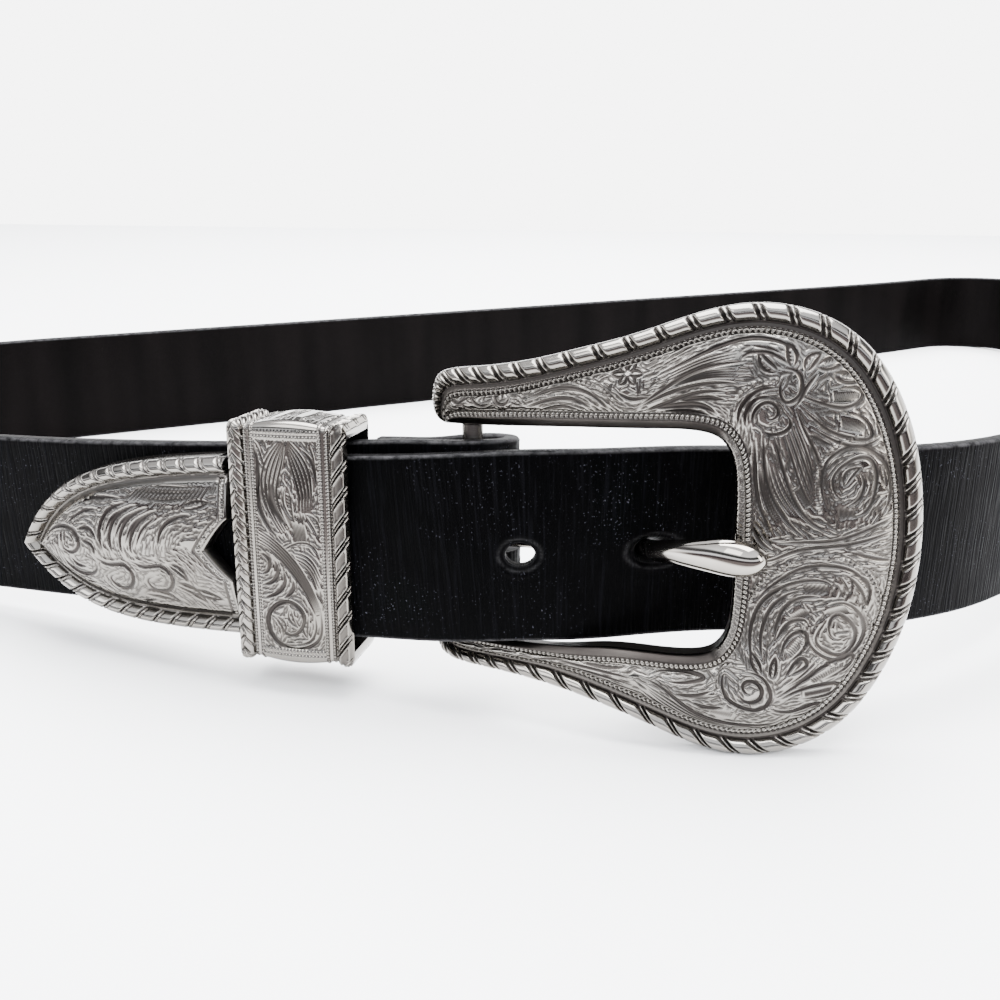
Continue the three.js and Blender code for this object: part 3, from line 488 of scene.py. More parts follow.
def leather_material():
    """Black grained leather: cross ribs with a painted bluish highlight and pale specks outside, smooth
    brown-black inside; the edges lighter from rubbing and a painted highlight, and a painted highlight round
    each hole.
    """
    s = Shader("belt_leather")
    place = s.mark("strap_place").outputs["Vector"]
    wear_and_highlight = s.mark("strap_wear_and_highlight").outputs["Fac"]
    split = s.node("SeparateXYZ", {0: place})
    outer = s.between(split.outputs[2], -0.4, 0.4)
    ribs = s.noise(s.scaled(place, 2.1, 0.09, 0.2), 1.0, 2.0, 0.5)
    pores = s.noise(s.scaled(place, 2.6, 2.2, 0.4), 1.0, 2.0, 0.6)
    bands = s.noise(s.scaled(place, 0.09, 0.012, 0.1), 1.0, 2.0, 0.5)
    flecks = s.noise(s.scaled(place, 3.2, 2.6, 0.3), 1.0, 1.0, 0.4)
    fleck = s.between(flecks, 0.70, 0.76)
    patch = s.between(s.noise(s.scaled(place, 0.05, 0.11, 0.0), 1.0, 2.0), 0.42, 0.6)
    fleck = s.math("MULTIPLY", fleck, patch, clamp=True)
    inner_colour = s.mixed(s.between(bands, 0.35, 0.65), *INNER_LEATHER)
    # The ribs' lighter bluish tops are a painted highlight.
    outer_colour_and_rib_sheen = s.mixed(s.between(ribs, 0.52, 0.68), *OUTER_LEATHER_AND_RIB_SHEEN)
    colour = s.mixed(outer, inner_colour, outer_colour_and_rib_sheen)
    colour = s.mixed(s.math("MULTIPLY", fleck, outer, clamp=True), colour, (0.03, 0.03, 0.038, 1))
    rubbed = s.noise(s.scaled(place, 0.5, 0.8, 0.8), 1.0, 4.0, 0.65)
    # Lighter where rubbed; the same mark paints a highlight on the edges and round the holes.
    rub_and_highlight = s.math("MULTIPLY", wear_and_highlight, s.between(rubbed, 0.3, 0.62), clamp=True)
    colour = s.mixed(rub_and_highlight, colour, (0.035, 0.034, 0.035, 1))
    rough = s.between(s.math("ADD", ribs, s.math("MULTIPLY", pores, 0.5)), 0.4, 1.1, 0.40, 0.66)
    rib_height = s.math("MULTIPLY", ribs, s.between(outer, 0, 1, 0.12, 1.0))
    normal = s.bump(rib_height, 0.6, 0.0003)
    normal = s.bump(pores, 0.25, 0.00008, normal)
    s.set(base_color=colour, roughness=rough, normal=normal)
    s.bsdf.inputs["Specular IOR Level"].default_value = 0.02
    return s.material


def metal_material(name, pale, dark, rough):
    """Bright plated metal. A mark at each vertex holds how deep the engraving is and how dark other hollows
    and hidden sides are; the colour darkens there with settled dirt and with painted shade.
    """
    s = Shader(name)
    dirt_and_shade = s.mark("dirt_and_shade").outputs["Fac"]
    here = s.node("TexCoord").outputs["Object"]
    cloud = s.noise(here, 60.0, 3.0, 0.55)
    grain = s.noise(here, 900.0, 2.0, 0.6)
    dirty = s.between(cloud, 0.3, 0.7, 0.8, 1.0)
    # Settled dirt in the hollows, together with painted shade there and on hidden sides.
    settled_dirt_and_shade = s.math("MULTIPLY", s.between(dirt_and_shade, 0.1, 0.8), dirty, clamp=True)
    low, high = [(*(pale * part for part in shade), 1) for shade in PLATING]
    colour = s.mixed(s.between(cloud, 0.35, 0.7), low, high)
    colour = s.mixed(settled_dirt_and_shade, colour, (*dark, 1))
    clean = s.between(cloud, 0.3, 0.7, rough, rough + 0.05)
    roughness = s.math("ADD", clean, s.math("MULTIPLY", settled_dirt_and_shade, 0.28))
    normal = s.bump(grain, 0.08, 0.00004)
    s.set(base_color=colour, roughness=roughness, normal=normal)
    s.bsdf.inputs["Metallic"].default_value = 1.0
    return s.material


# A look is a material and its slot.
LEATHER = leather_material(), "leather"
# The dark colours are those of settled dirt and of painted shade.
ENGRAVED = metal_material("engraved_plating", 0.56, (0.018, 0.015, 0.014), 0.13), "engraved_metal"
PLAIN = metal_material("plain_plating", 0.97, (0.02, 0.018, 0.018), 0.07), "plain_metal"


# The strap

TIP_HALF = 16.9
TIP_ROUNDNESS = 10.5
TIP_LENGTH = 47.0
HOLES = [
    {"from_end": 100.8, "long": 5.1, "tall": 4.0, "rim": 1.3, "back": 1.0},
    {"from_end": 124.0, "long": 7.8, "tall": 4.4, "rim": 1.0, "back": 0.5},
    {"from_end": 147.2, "long": 5.1, "tall": 4.0, "rim": 1.3, "back": 1.0},
]
IN_TIP = (40, 33, 27, 22, 18, 14.5, 11.5, 9, 7, 5.3, 4.2)
HOLE_DROP = 1.2
HOLE_DISH = 0.75
CORNER = 0.7
FRONT_COLUMNS = 41


def arch_half(distance):
    return TIP_HALF * (1 - np.exp(-np.asarray(distance, float) / TIP_ROUNDNESS))


def strap_section():
    """(out, up) round the strap: front face, top edge, back face, bottom edge."""
    face = np.linspace(CORNER, WIDTH - CORNER, FRONT_COLUMNS)
    half = THICK / 2
    arc = np.radians([18, 36, 54, 72, 90])
    front = [(half, h) for h in face]
    top = [(half - CORNER + CORNER * math.cos(a), WIDTH - CORNER + CORNER * math.sin(a)) for a in arc]
    top += [(0, WIDTH)] + [(-o, h) for o, h in reversed(top)]
    back = [(-half, h) for h in face[::-1]]
    bottom = [(-o, WIDTH - h) for o, h in top]
    return np.array(front + top + back + bottom), len(top)


def strap_stations():
    """Distances along the strap, closer together at the fold and where the holes are."""
    end = ROUTE.length
    fold_end, holes_from, holes_to = 45.0, 158, 56
    parts = [
        np.arange(0, fold_end, 0.45),
        np.arange(fold_end, end - holes_from, 2.4),
        np.arange(end - holes_from, end - holes_to, 0.5),
        np.arange(end - holes_to, end - TIP_LENGTH - 0.6, 1.0),
        end - np.array([TIP_LENGTH + 0.35, TIP_LENGTH - 0.1, *IN_TIP]),
    ]
    return np.concatenate(parts)


class StrapMesh:
    def __init__(self):
        self.section, edge_points = strap_section()
        self.stations = strap_stations()
        self.columns = len(self.section)
        self.back_start = FRONT_COLUMNS + edge_points
        grid = np.array([[(s, h, o) for o, h in self.section] for s in self.stations])
        self.place = [grid.reshape(-1, 3)]
        self.count = len(self.place[0])
        self.quads = []
        self.open_cells = set()

    def add(self, rows):
        first = self.count
        self.place.append(np.asarray(rows, float))
        self.count += len(rows)
        return np.arange(first, self.count)

    def vertex(self, i, j, back=False):
        column = self.back_start + FRONT_COLUMNS - 1 - j if back else j
        return i * self.columns + column

    def boundary(self, i0, i1, j0, j1, back=False):
        """The vertices round a rectangle of cells, in one turn."""
        turn = [(i, j0) for i in range(i0, i1)] + [(i1, j) for j in range(j0, j1)]
        turn += [(i, j1) for i in range(i1, i0, -1)] + [(i0, j) for j in range(j1, j0, -1)]
        return np.array([self.vertex(i, j, back) for i, j in turn])

    def open(self, i0, i1, j0, j1):
        for i in range(i0, i1):
            for j in range(j0, j1):
                self.open_cells.add((i, j))
                self.open_cells.add((i, self.back_start + FRONT_COLUMNS - 2 - j))

    def bridge(self, a, b):
        n = len(a)
        for k in range(n):
            self.quads.append((a[k], a[(k + 1) % n], b[(k + 1) % n], b[k]))

    def hole(self, from_end, long, tall, rim, back):
        middle = np.array([ROUTE.length - from_end, WIDTH / 2 - HOLE_DROP])
        i0, i1 = np.searchsorted(self.stations, middle[0] + np.array([-1, 1]) * (long / 2 + 2.6))
        face = self.section[:FRONT_COLUMNS, 1]
        j0, j1 = np.searchsorted(face, middle[1] + np.array([-1, 1]) * (tall / 2 + 2.4))
        self.open(i0, i1, j0, j1)
        place = self.place[0]
        last = []
        for behind in (False, True):
            edge = self.boundary(i0, i1, j0, j1, behind)
            around = place[edge][:, :2] - middle
            angle = np.arctan2(around[:, 1] / tall, around[:, 0] / long)
            ring = np.column_stack([long / 2 * np.cos(angle), tall / 2 * np.sin(angle)])
            ring *= back if behind else 1
            sign = -1 if behind else 1
            previous = edge
            for t in (0.85, 0.7, 0.56, 0.44, 0.34, 0.25, 0.17, 0.1, 0.05, 0.0):
                flat = ring + (around - ring) * t
                beyond = np.linalg.norm(flat - ring, axis=1)
                dish = HOLE_DISH * np.clip(1 - beyond / rim, 0, 1) ** 1.4
                puff = 0.12 * np.exp(-((beyond - rim - 0.35) / 0.35) ** 2)
                sunk = (0.3 * dish) if behind else (dish - puff)
                rows = np.column_stack([middle + flat, sign * (THICK / 2 - sunk)])
                made = self.add(rows)
                self.bridge(previous, made)
                previous = made
            last.append(previous)
        front, far = last
        every = np.concatenate(self.place)
        previous = front
        for f in (0.25, 0.5, 0.75):
            made = self.add(every[front] * (1 - f) + every[far] * f)
            self.bridge(previous, made)
            previous = made
        self.bridge(previous, far)

    def slot(self, low, high, first, last):
        """The slot at the fold, for the prong."""
        i0, i1 = np.searchsorted(self.stations, [first, last])
        j0, j1 = np.searchsorted(self.section[:FRONT_COLUMNS, 1], [low, high])
        self.open(i0, i1, j0, j1)
        self.bridge(self.boundary(i0, i1, j0, j1), self.boundary(i0, i1, j0, j1, True))

    def finish(self):
        for i in range(len(self.stations) - 1):
            for j in range(self.columns):
                if (i, j) not in self.open_cells:
                    nextj = (j + 1) % self.columns
                    self.quads.append((i * self.columns + j, i * self.columns + nextj,
                                       (i + 1) * self.columns + nextj, (i + 1) * self.columns + j))
        return np.concatenate(self.place), np.array(self.quads)


# A painted highlight round each hole, for the light on its dished rim: strength, distance out and width of
# each ring.
HOLE_RIM_HIGHLIGHT = (0.4, 1.42, 0.09), (0.3, 1.05, 0.05)


def strap_piece():
    mesh = StrapMesh()
    fold_middle = ROUTE.along[ROUTE.fold]
    reach = 11 + math.pi * FOLD["radius"] / 2 - 2
    mesh.slot(WIDTH / 2 - 3.5, WIDTH / 2 + 3.5, fold_middle - reach, fold_middle + reach)
    for hole in HOLES:
        mesh.hole(**hole)
    place, quads = mesh.finish()
    s, h, o = place.T
    from_end = ROUTE.length - s
    half_in_tip = np.minimum(WIDTH / 2, arch_half(from_end) - 1.38)
    inside_tip = np.where(from_end < TIP_LENGTH, half_in_tip, WIDTH / 2)
    height = WIDTH / 2 + (h - WIDTH / 2) * inside_tip / (WIDTH / 2)
    rng = np.random.default_rng(7)
    ragged = np.exp(-((s - fold_middle) / 5.0) ** 2)
    bump = rng.normal(0, 1, len(s)) * 0.05 * ragged
    wave = 0.06 * np.sin(s * 0.31 + 1.3 * np.sin(h * 0.21)) * np.sin(h * 0.37 + 0.5)
    points = ROUTE.on(s, o + np.sign(o) * bump + wave * (from_end > TIP_LENGTH + 1), height)
    in_corner = np.hypot(np.minimum(h, WIDTH - h) - 0.15, np.abs(o) - THICK / 2 + 0.15)
    corner = np.clip(1 - in_corner / 0.55, 0, 1)
    ring = np.zeros(len(s))
    for hole in HOLES:
        along, across = from_end - hole["from_end"], h - WIDTH / 2 + HOLE_DROP
        out_from = np.hypot(along / hole["long"], across / hole["tall"]) * 2
        # The painted highlight on each hole's dished rim, on the outer side.
        rim_highlight = sum(most * np.exp(-((out_from - at) / wide) ** 2) for most, at, wide in HOLE_RIM_HIGHLIGHT)
        ring += rim_highlight * (o > 0)
    # Lighter marks: rubbing on the folded end, rubbing and a painted highlight along the rounded corners and
    # edges, and the painted highlight round each hole.
    wear_and_highlight = np.clip(corner * 1.4 + 0.16 * ((h < 0.3) | (h > WIDTH - 0.3)) + 0.5 * ragged + ring, 0, 1)
    last = (len(mesh.stations) - 1) * mesh.columns
    points, fans = capped(points, len(mesh.stations), mesh.columns)
    marks = {"strap_place": np.vstack([place, place[[0, last]]]), "strap_wear_and_highlight": np.append(wear_and_highlight, [0.4, 0])}
    make_piece("strap_leather", points, quads, fans, LEATHER, ["strap"], marks, sharp=50)


# The buckle

BUCKLE_LEAN = math.radians(6.5)
BUCKLE_YAW = math.radians(-12)
BUCKLE_ROLL = math.radians(1.5)
BUCKLE_CENTRE = np.array([24.7, -6.4, 23.7])
BUCKLE_BEND = 100.0
BAR_U, BAR_W, BAR_RADIUS = -31.6, -8.0, 1.8
# Round the end of a horn and on to the middle of the round side: outer u, inner u, upper outer v,
# upper inner v, lower outer v, lower inner v.
FRAME_ROWS = np.array([
    (-36.4, -35.9, 18.2, 18, 19.6, 19.4), (-37.8, -35.4, 19.4, 18, 20.2, 19.4),
    (-38.4, -34.9, 21.6, 18, 21.1, 19.3), (-38.2, -34.3, 24.2, 18, 22.3, 19.3),
    (-36.9, -33.3, 26.5, 18, 23.7, 19.3), (-33.6, -31.2, 27.5, 18, 24.6, 19.3),
    (-27.6, -27, 28, 18, 25, 19.3), (-20, -21, 29.1, 18.1, 25.8, 19.3),
    (-12.5, -14, 30.8, 18.2, 27.4, 19.1), (-5.2, -7.5, 32.6, 18.2, 29.7, 18.6),
    (1.5, -1, 34.7, 18.2, 32.3, 18.8), (8.8, 5, 36.9, 18.1, 35.1, 19.1),
    (17, 9.4, 37.7, 17.2, 36.3, 18.5), (25.4, 11.6, 35.7, 15.2, 34.5, 16.4),
    (32.5, 12.6, 30.9, 12.5, 29.8, 13.5), (37.6, 12.9, 23.8, 9.5, 22.6, 10),
    (40.8, 13, 15.8, 6.4, 14.9, 6.6), (42.4, 13, 7.9, 3.2, 7.3, 3.3), (42.9, 13, 0, 0, 0, 0),
])


def buckle_axes():
    cl, sl = math.cos(BUCKLE_LEAN), math.sin(BUCKLE_LEAN)
    out = np.array([math.sin(BUCKLE_YAW) * cl, -math.cos(BUCKLE_YAW) * cl, sl])
    level = np.array([math.cos(BUCKLE_YAW), math.sin(BUCKLE_YAW), 0])
    steep = np.cross(out, level)
    across = level * math.cos(BUCKLE_ROLL) + steep * math.sin(BUCKLE_ROLL)
    up = steep * math.cos(BUCKLE_ROLL) - level * math.sin(BUCKLE_ROLL)
    return across, up, out


ACROSS, UPWARD, OUTWARD = buckle_axes()


def buckle_flat(u, v, w):
    return (BUCKLE_CENTRE + np.asarray(u)[..., None] * ACROSS + np.asarray(v)[..., None] * UPWARD
            + np.asarray(w)[..., None] * OUTWARD)


def on_buckle(u, v, height):
    """The face is bent back round an upright axis."""
    u = np.asarray(u, float)
    return buckle_flat(u, v, np.asarray(height) - u * u / (2 * BUCKLE_BEND))


def buckle_relief():
    """Traditional scroll engraving: leaf scrolls, beaded rosettes and bundles of flowing lines."""
    r = Relief((-41, -39), (45, 40))
    # upper rosette: beaded arc, petals and the knot above them
    r.beads(0.85, 0.34, 0.22, 11.8, 19.3, 12.1, 22.1, 13.5, 24.4, 15.5, 25.6, 18.5, 25.9)
    r.line(*BOLD, 12.9, 18.6, 13.1, 21.4, 14.4, 23.4, 16.4, 24.6, 18.9, 24.8)
    r.line(0.9, 0.32, 14.1, 18.9, 14.1, 21.3, 15.6, 23.1, 17.8, 23.6)
    r.line(0.9, 0.32, 15.3, 19, 15.2, 20.9, 16.4, 22.3, 18, 22.4, 18.9, 21, 17.9, 19.9, 16.9, 20.6)
    r.line(*BOLD, 16.6, 18.2, 17.9, 17.6, 19.8, 17.9, 20.8, 19.2, 20.2, 20.6)
    r.line(*BOLD, 19.2, 27.7, 21.5, 27.2, 22.3, 25.4, 21.8, 23.4, 19.9, 22.6, 19, 24.6, 19.7, 26.3)
    r.line(0.9, 0.3, 21.4, 21.8, 22.4, 23.4, 23.1, 24.9, 24.7, 26.9)
    r.leaf(18.6, 27.2, 15.6, 30.6, 0.9, 5, 0.8, 0.3, 0.12)
    r.leaf(20.8, 27.8, 19.6, 31.8, 0.9, 5, 0.8, 0.3, -0.14)
    r.leaf(22.8, 27.2, 25.4, 30, 0.9, 4, 0.8, 0.3, 0.1)
    # lines that sweep from the rosette round the large spiral
    r.line(*BOLD, 15.6, 16.7, 15.8, 11.4, 16.7, 6.1, 18.9, 1.2)
    r.line(*BOLD, 16.9, 17.7, 17.2, 12.7, 18.7, 7.4, 21.4, 3.3, 24.1, 0.9)
    r.line(*BOLD, 18.3, 17.7, 19.8, 12.7, 21.8, 7.4, 24.5, 3.8, 27.5, 1.9)
    r.line(*BOLD, 21.4, 21.8, 23.1, 17.9, 24.8, 14.7, 25.7, 11.3, 25.3, 8.6, 26.3, 5.1)
    r.bundle(3, 0.6, 0.24, (19.6, 18.4, 21.4, 13.4, 23.2, 8.6, 25.4, 5), (21, 20.4, 22.6, 16.6, 24.2, 12.2,
        24.6, 8.4))
    r.bundle(2, 0.5, 0.22, (17.6, 13.2, 19, 8.4, 21.6, 4.6), (18.6, 13.2, 20.6, 8.2, 23.2, 4.4))
    r.bundle(2, 0.5, 0.22, (16.3, 12.6, 17.2, 7.4, 19.4, 2.8), (16.8, 12.4, 18, 7.4, 20.4, 3.2))
    r.hatch(9, 0.3, 0.14, 23.2, 9.8, 24.8, 6.8, 23.6, 5.8, 21.8, 8.4)
    # large spiral beside the prong's end
    r.beads(0.85, 0.36, 0.22, 25.8, 5.4, 25.4, 9, 25.6, 12.9, 27.8, 15.8, 31, 16.8)
    r.line(*BOLD, 27.3, 4.8, 26, 8.6, 26.2, 12.3, 28.1, 14.6, 31.2, 15.5, 34.6, 13.9, 36.7, 10.7, 36.9, 6.7,
        35, 3)
    r.line(*BOLD, 30.3, 8, 28.7, 7.5, 27.6, 9.6, 28.3, 11.7, 30.5, 13.3, 33.1, 13.5, 34.5, 11, 34.2, 7.3,
        32.5, 4.7, 29.7, 4.5)
    r.line(0.8, 0.3, 31.6, 11.6, 32.6, 9.6, 31.9, 7.2, 30, 6)
    r.leaf(29.4, 9.2, 32.2, 12.2, 0.8, 5, 0.7, 0.28, 0.15)
    r.leaf(32.8, 4.2, 35.8, 7.8, 0.6, 4, 0.45, 0.2, 0.15)
    r.leaf(35, 12.4, 36.2, 8.4, 0.5, 4)
    r.hatch(7, 0.3, 0.14, 28.6, 6.4, 31.2, 5.6, 31.8, 4, 28.8, 3.6)
    # leaves that fan to the upper right
    r.line(*BOLD, 21.6, 23.8, 25.7, 22.2, 29.5, 21.6, 31.8, 23.1, 30.7, 24.5, 27.9, 24.3)
    r.line(*BOLD, 21.9, 22, 25.3, 19.1, 28.5, 17.3, 33.2, 16.6, 32.2, 19.5, 29.3, 20.6)
    r.line(0.8, 0.3, 23.6, 17.6, 27.3, 15.7)
    r.line(0.8, 0.3, 24, 18.6, 28.3, 16.2, 32.4, 15.6, 35.4, 16.8)
    r.hatch(9, 0.3, 0.15, 27, 24.2, 31.4, 24, 31, 22.6, 27.2, 22.4)
    r.hatch(10, 0.3, 0.15, 28.4, 20.2, 32.4, 19.2, 32.6, 17.4, 28.6, 18.2)
    r.leaf(24.4, 27.8, 30, 30.2, 1.1, 7, 0.8, 0.3, -0.1)
    r.leaf(26.8, 26.6, 33.6, 26.6, 1, 7, 0.8, 0.3, -0.1)
    r.leaf(31.8, 25.4, 36.6, 21.2, 0.9, 6, 0.8, 0.3, -0.12)
    r.leaf(34.4, 20.4, 37.8, 14.8, 0.8, 5, 0.7, 0.28, -0.1)
    # long leaf lines over the upper horn
    r.line(*BOLD, 13.9, 28.8, 10.4, 28.5, 5.4, 27, 0.4, 23.9, -2.2, 22.1)
    r.line(*BOLD, 13, 25.5, 8.5, 25.5, 2.9, 24.2, -2.2, 21.8)
    r.line(0.9, 0.3, 20.4, 28.2, 17.3, 30, 14.1, 30, 12.9, 28.8)
    r.line(*BOLD, 22.4, 28.2, 20.3, 31, 15.3, 32.3, 10.3, 31.3, 5.4, 29.1, 0.6, 26.6)
    r.bundle(2, *FINE, (12.6, 30.4, 7.4, 29.2, 2.4, 26.8), (12, 29.4, 7.2, 28.2, 1.6, 25.6))
    r.bundle(3, *FINE, (12.4, 27.6, 7.6, 27.2, 2.6, 24.9), (12.6, 26.4, 7.8, 26.3, 3, 24.9))
    r.bundle(2, *FINE, (16.4, 31.2, 19.4, 29.8), (14.4, 31.2, 17.8, 30.6))
    r.line(1, 0.34, 11.3, 24.2, 7.6, 24.2, 3.4, 23, -1.6, 21)
    r.line(1.5, 0.4, 0.4, 21.6, 4.5, 22.1, 7.6, 21.9, 9.6, 20.7)
    r.line(1.3, 0.38, 1.4, 20.9, 5, 21, 8.6, 20.3)
    r.line(1.2, 0.38, 11, 22.9, 7.8, 23.2, 4, 22.8)
    # upper horn: beaded S leaf, rosette and scroll ends
    r.beads(0.8, 0.34, 0.22, -21.6, 23.9, -18.5, 24.8, -16.1, 25.6, -12, 25.6, -8.5, 24.4, -6.1, 22.2)
    r.line(*BOLD, -20.4, 22.8, -16.4, 24.3, -12.2, 24.4, -9, 23, -7, 21)
    r.line(0.9, 0.32, -20.6, 21.4, -16.2, 22.8, -12.4, 22.7, -9.8, 21.2)
    r.line(0.7, 0.28, -18.4, 20.8, -15, 21.6, -12.2, 21)
    r.line(0.8, 0.3, -5.8, 24.2, -3.6, 23, -0.6, 23.4)
    for angle in range(0, 360, 60):
        a = math.radians(angle)
        r.leaf(-4.3 + 0.5 * math.cos(a), 26.9 + 0.4 * math.sin(a), -4.3 + 2.6 * math.cos(a),
            26.9 + 2.1 * math.sin(a), 0.6, 0, 0.6, 0.3)
    for u, v, turn in ((-24.8, 22.8, 1), (-29.2, 23.2, -1), (-33.0, 22.8, 1)):
        r.line(0.8, 0.32, u + 2.2, v + 1.4 * turn, u, v + 1.9 * turn, u - 1.6, v + 0.4 * turn, u - 0.6,
            v - 1.2 * turn, u + 0.8, v - 0.4 * turn, u + 0.2, v + 0.5 * turn)
        r.leaf(u - 1.8, v + 0.2, u - 3.9, v + 1.2 * turn, 0.5, 3)
        r.leaf(u + 1.2, v - 0.4, u + 3.4, v - 1.2 * turn, 0.5, 3)
    # large beaded arc and leaves under the prong
    r.beads(0.85, 0.38, 0.26, 15.2, -10.9, 16.7, -7.5, 19.7, -4.5, 24.3, -2.3, 30.3, -2.8, 34.1, -5.2, 36.3,
        -9.2, 36.3, -13.7)
    r.line(0.9, 0.3, 16.3, -10.6, 17.6, -8.2, 20.4, -5.6, 24.4, -3.6, 29.6, -3.8, 33.2, -6, 35, -9.6)
    r.line(*BOLD, 16.6, -21.3, 15.9, -15.6, 16.8, -10.9, 19.3, -7.8, 23.4, -6, 27.1, -6, 28.4, -7.2, 28.2,
        -8.6)
    r.line(*BOLD, 19.6, -15.4, 20.7, -10.9, 23.5, -8.7, 26.6, -8.5)
    r.line(0.9, 0.32, 18, -19.4, 17.6, -15.2, 18.8, -10.8, 21.4, -8.2, 24.4, -7.2)
    r.line(*BOLD, 19.9, -15.9, 21.6, -13.1, 23.9, -12.3, 25, -13.2)
    r.line(*BOLD, 20.8, -18.8, 21.2, -16.5, 22.7, -14.6, 24.6, -14.6, 24.4, -17.1, 21.9, -19.4)
    r.line(*BOLD, 21.4, -22.2, 22.4, -20.5, 23.9, -18.8, 25, -19.7, 24, -20.8, 22.2, -21.6)
    r.hatch(11, 0.3, 0.15, 23.6, -6.1, 27.8, -6.3, 27.8, -8.2, 24.2, -8.3)
    r.hatch(8, 0.3, 0.15, 21.2, -12, 24.4, -10, 25.2, -11.9, 22.2, -13)
    r.hatch(6, 0.3, 0.15, 21.6, -17.8, 23.6, -15.2, 24.2, -16.2, 22.6, -18.6)
    r.leaf(31, -5.2, 34, -11, 1, 6, 0.8, 0.3, 0.18)
    r.leaf(29.4, -4.8, 31.2, -8.8, 0.7, 4, 0.45, 0.2, 0.15)
    # second large spiral with its beaded outline
    r.beads(0.85, 0.38, 0.26, 24.2, -13, 24.2, -16.2, 26, -19, 29.8, -20.6, 33.4, -19, 35.2, -15.1, 34, -11)
    r.line(*BOLD, 25.3, -13.2, 25.1, -15.7, 26.6, -18, 29.8, -19.5, 32.7, -18, 34.1, -14.7, 32.6, -11.3, 29.9,
        -9.7, 27.3, -10.2)
    r.line(*BOLD, 27.6, -12.4, 26.2, -15.5, 27.9, -17.8, 30.9, -18.5, 32.6, -16, 31.9, -13.5, 29.7, -11.7,
        28.2, -13, 28.8, -15.4, 30.6, -15.8)
    r.hatch(8, 0.3, 0.15, 27.4, -10.9, 30.6, -10.2, 31.6, -11.6, 28.4, -12.2)
    # lower rosette
    r.beads(0.85, 0.36, 0.22, 13.6, -20.2, 11.2, -21.4, 10.9, -24.7, 12.9, -27.5, 16.9, -28.8, 19.8, -27.3)
    r.line(*BOLD, 13.5, -22.8, 11.9, -22, 11.9, -24.5, 13.6, -26.6, 16.9, -27.8, 19, -26.8, 19.4, -24.5, 17.7,
        -21.9, 14.5, -21.2)
    r.line(1, 0.34, 14.2, -24.6, 15.4, -26.2, 17.4, -26, 18, -24.2, 16.6, -22.8, 15, -23.4, 15.6, -24.8, 16.6,
        -24.6)
    r.hatch(6, 0.3, 0.15, 16, -25.8, 18.4, -24.8, 18.4, -26.4, 16.6, -27.2)
    r.leaf(17.8, -21.6, 16, -17.6, 0.7, 4, 0.7, 0.3)
    r.leaf(19.6, -22.2, 20, -18.2, 0.6, 4, 0.7, 0.3)
    # leaves that fan to the right
    r.line(*BOLD, 20, -25.6, 23.1, -23.7, 27.7, -20.4, 32.2, -18.9, 31.5, -21.1, 27.6, -22.9)
    r.line(*BOLD, 20.8, -25.9, 25.2, -24, 30.1, -23.9, 29.3, -25.6, 24, -26)
    r.line(*BOLD, 19.2, -27.4, 22.8, -28.3, 27, -27.2, 26.5, -28.7, 22.8, -29.4)
    r.hatch(12, 0.36, 0.2, 24.8, -24.6, 29.6, -24.2, 29, -25.4, 25, -25.8)
    r.hatch(10, 0.36, 0.2, 25.4, -22.4, 31, -19.8, 31, -21.2, 26.4, -23.2)
    r.bundle(2, *FINE, (21.6, -23.6, 24.6, -21.4, 27, -18.4), (21.8, -24.2, 25.2, -22.4, 28.4, -19.8))
    # long leaf lines over the lower horn
    r.line(*BOLD, -1.6, -22.9, 2.6, -24.9, 7.5, -28.7, 13.7, -30.6, 19.1, -30.8, 21.7, -29.7)
    r.line(*BOLD, -1.5, -25.2, 2.6, -28.4, 7.6, -30.8, 13.8, -32, 19.7, -31.7)
    r.bundle(2, *FINE, (-0.4, -24.2, 3.6, -26.8, 8.4, -29.8, 14, -31.2), (-0.6, -24.9, 2.8, -27.8, 7.8, -30.4,
        13.6, -31.7))
    r.bundle(3, 0.7, 0.28, (-16.5, -21.4, -9, -22.4, -2.6, -23.4), (-14, -23.6, -8, -25, -2.6, -26.8))
    r.line(*BOLD, 0.1, -22.5, 3.8, -21.7, 8.7, -22.6, 5.2, -23.6, 2.5, -23.2)
    r.line(0.9, 0.32, 6.9, -26.7, 9.4, -27.5, 12, -27.4)
    r.line(0.9, 0.32, 3.9, -25.4, 7.2, -25.6, 10.1, -24.6)
    r.hatch(7, 0.3, 0.15, 9.6, -28.6, 13.2, -29.4, 13.8, -28.2, 10.4, -27.8)
    r.leaf(-3.6, -21.4, -11.6, -21.4, 0.55, 5, 0.7, 0.28)
    r.leaf(-13.4, -21.6, -20.4, -21.8, 0.5, 4)
    r.leaf(-22.4, -22, -28.4, -21.9, 0.45, 3)
    r.leaf(-29.8, -22, -34.4, -21.6, 0.4, 2)
    # between the opening and the scrolls
    r.bundle(2, 0.6, 0.26, (14.6, 8.4, 15, 2.6, 16.6, -0.8), (15.4, 3.6, 17, 0.4, 19.8, -1.6))
    r.bundle(2, 0.6, 0.26, (15, -4.6, 14.6, -9.4, 14.7, -14.2), (15.8, -4.8, 15.2, -8, 14.9, -11.6))
    r.line(*BOLD, 15.8, -3, 19, -2.6, 22.6, -1, 27.6, -0.4, 33, 0.2, 38.4, 1.6)
    r.line(0.9, 0.32, 19.6, 0.2, 23.6, 0.4, 28.6, 0.6, 33.4, 2, 38, 3.8)
    r.line(0.9, 0.32, 30.6, -1.2, 34.4, -2.6, 38.4, -3.6)
    r.fill()
    return r.draw()


RIM = 3.0
GROOVE_END = 3.9
BEAD_AT = 4.35
FIELD_FROM = 4.9
LIP = 1.5
INNER_BEAD_AT = 2.05
FIELD_TO = 2.6
BEAD_PITCH = 0.86
FRAME_STEPS = 690
FRAME_PARTS = {
    "buckle_upper_horn": (0, 460),
    "buckle_round_side": (460, 919),
    "buckle_lower_horn": (919, 1378),
}
ROPE_SLANT = 0.75


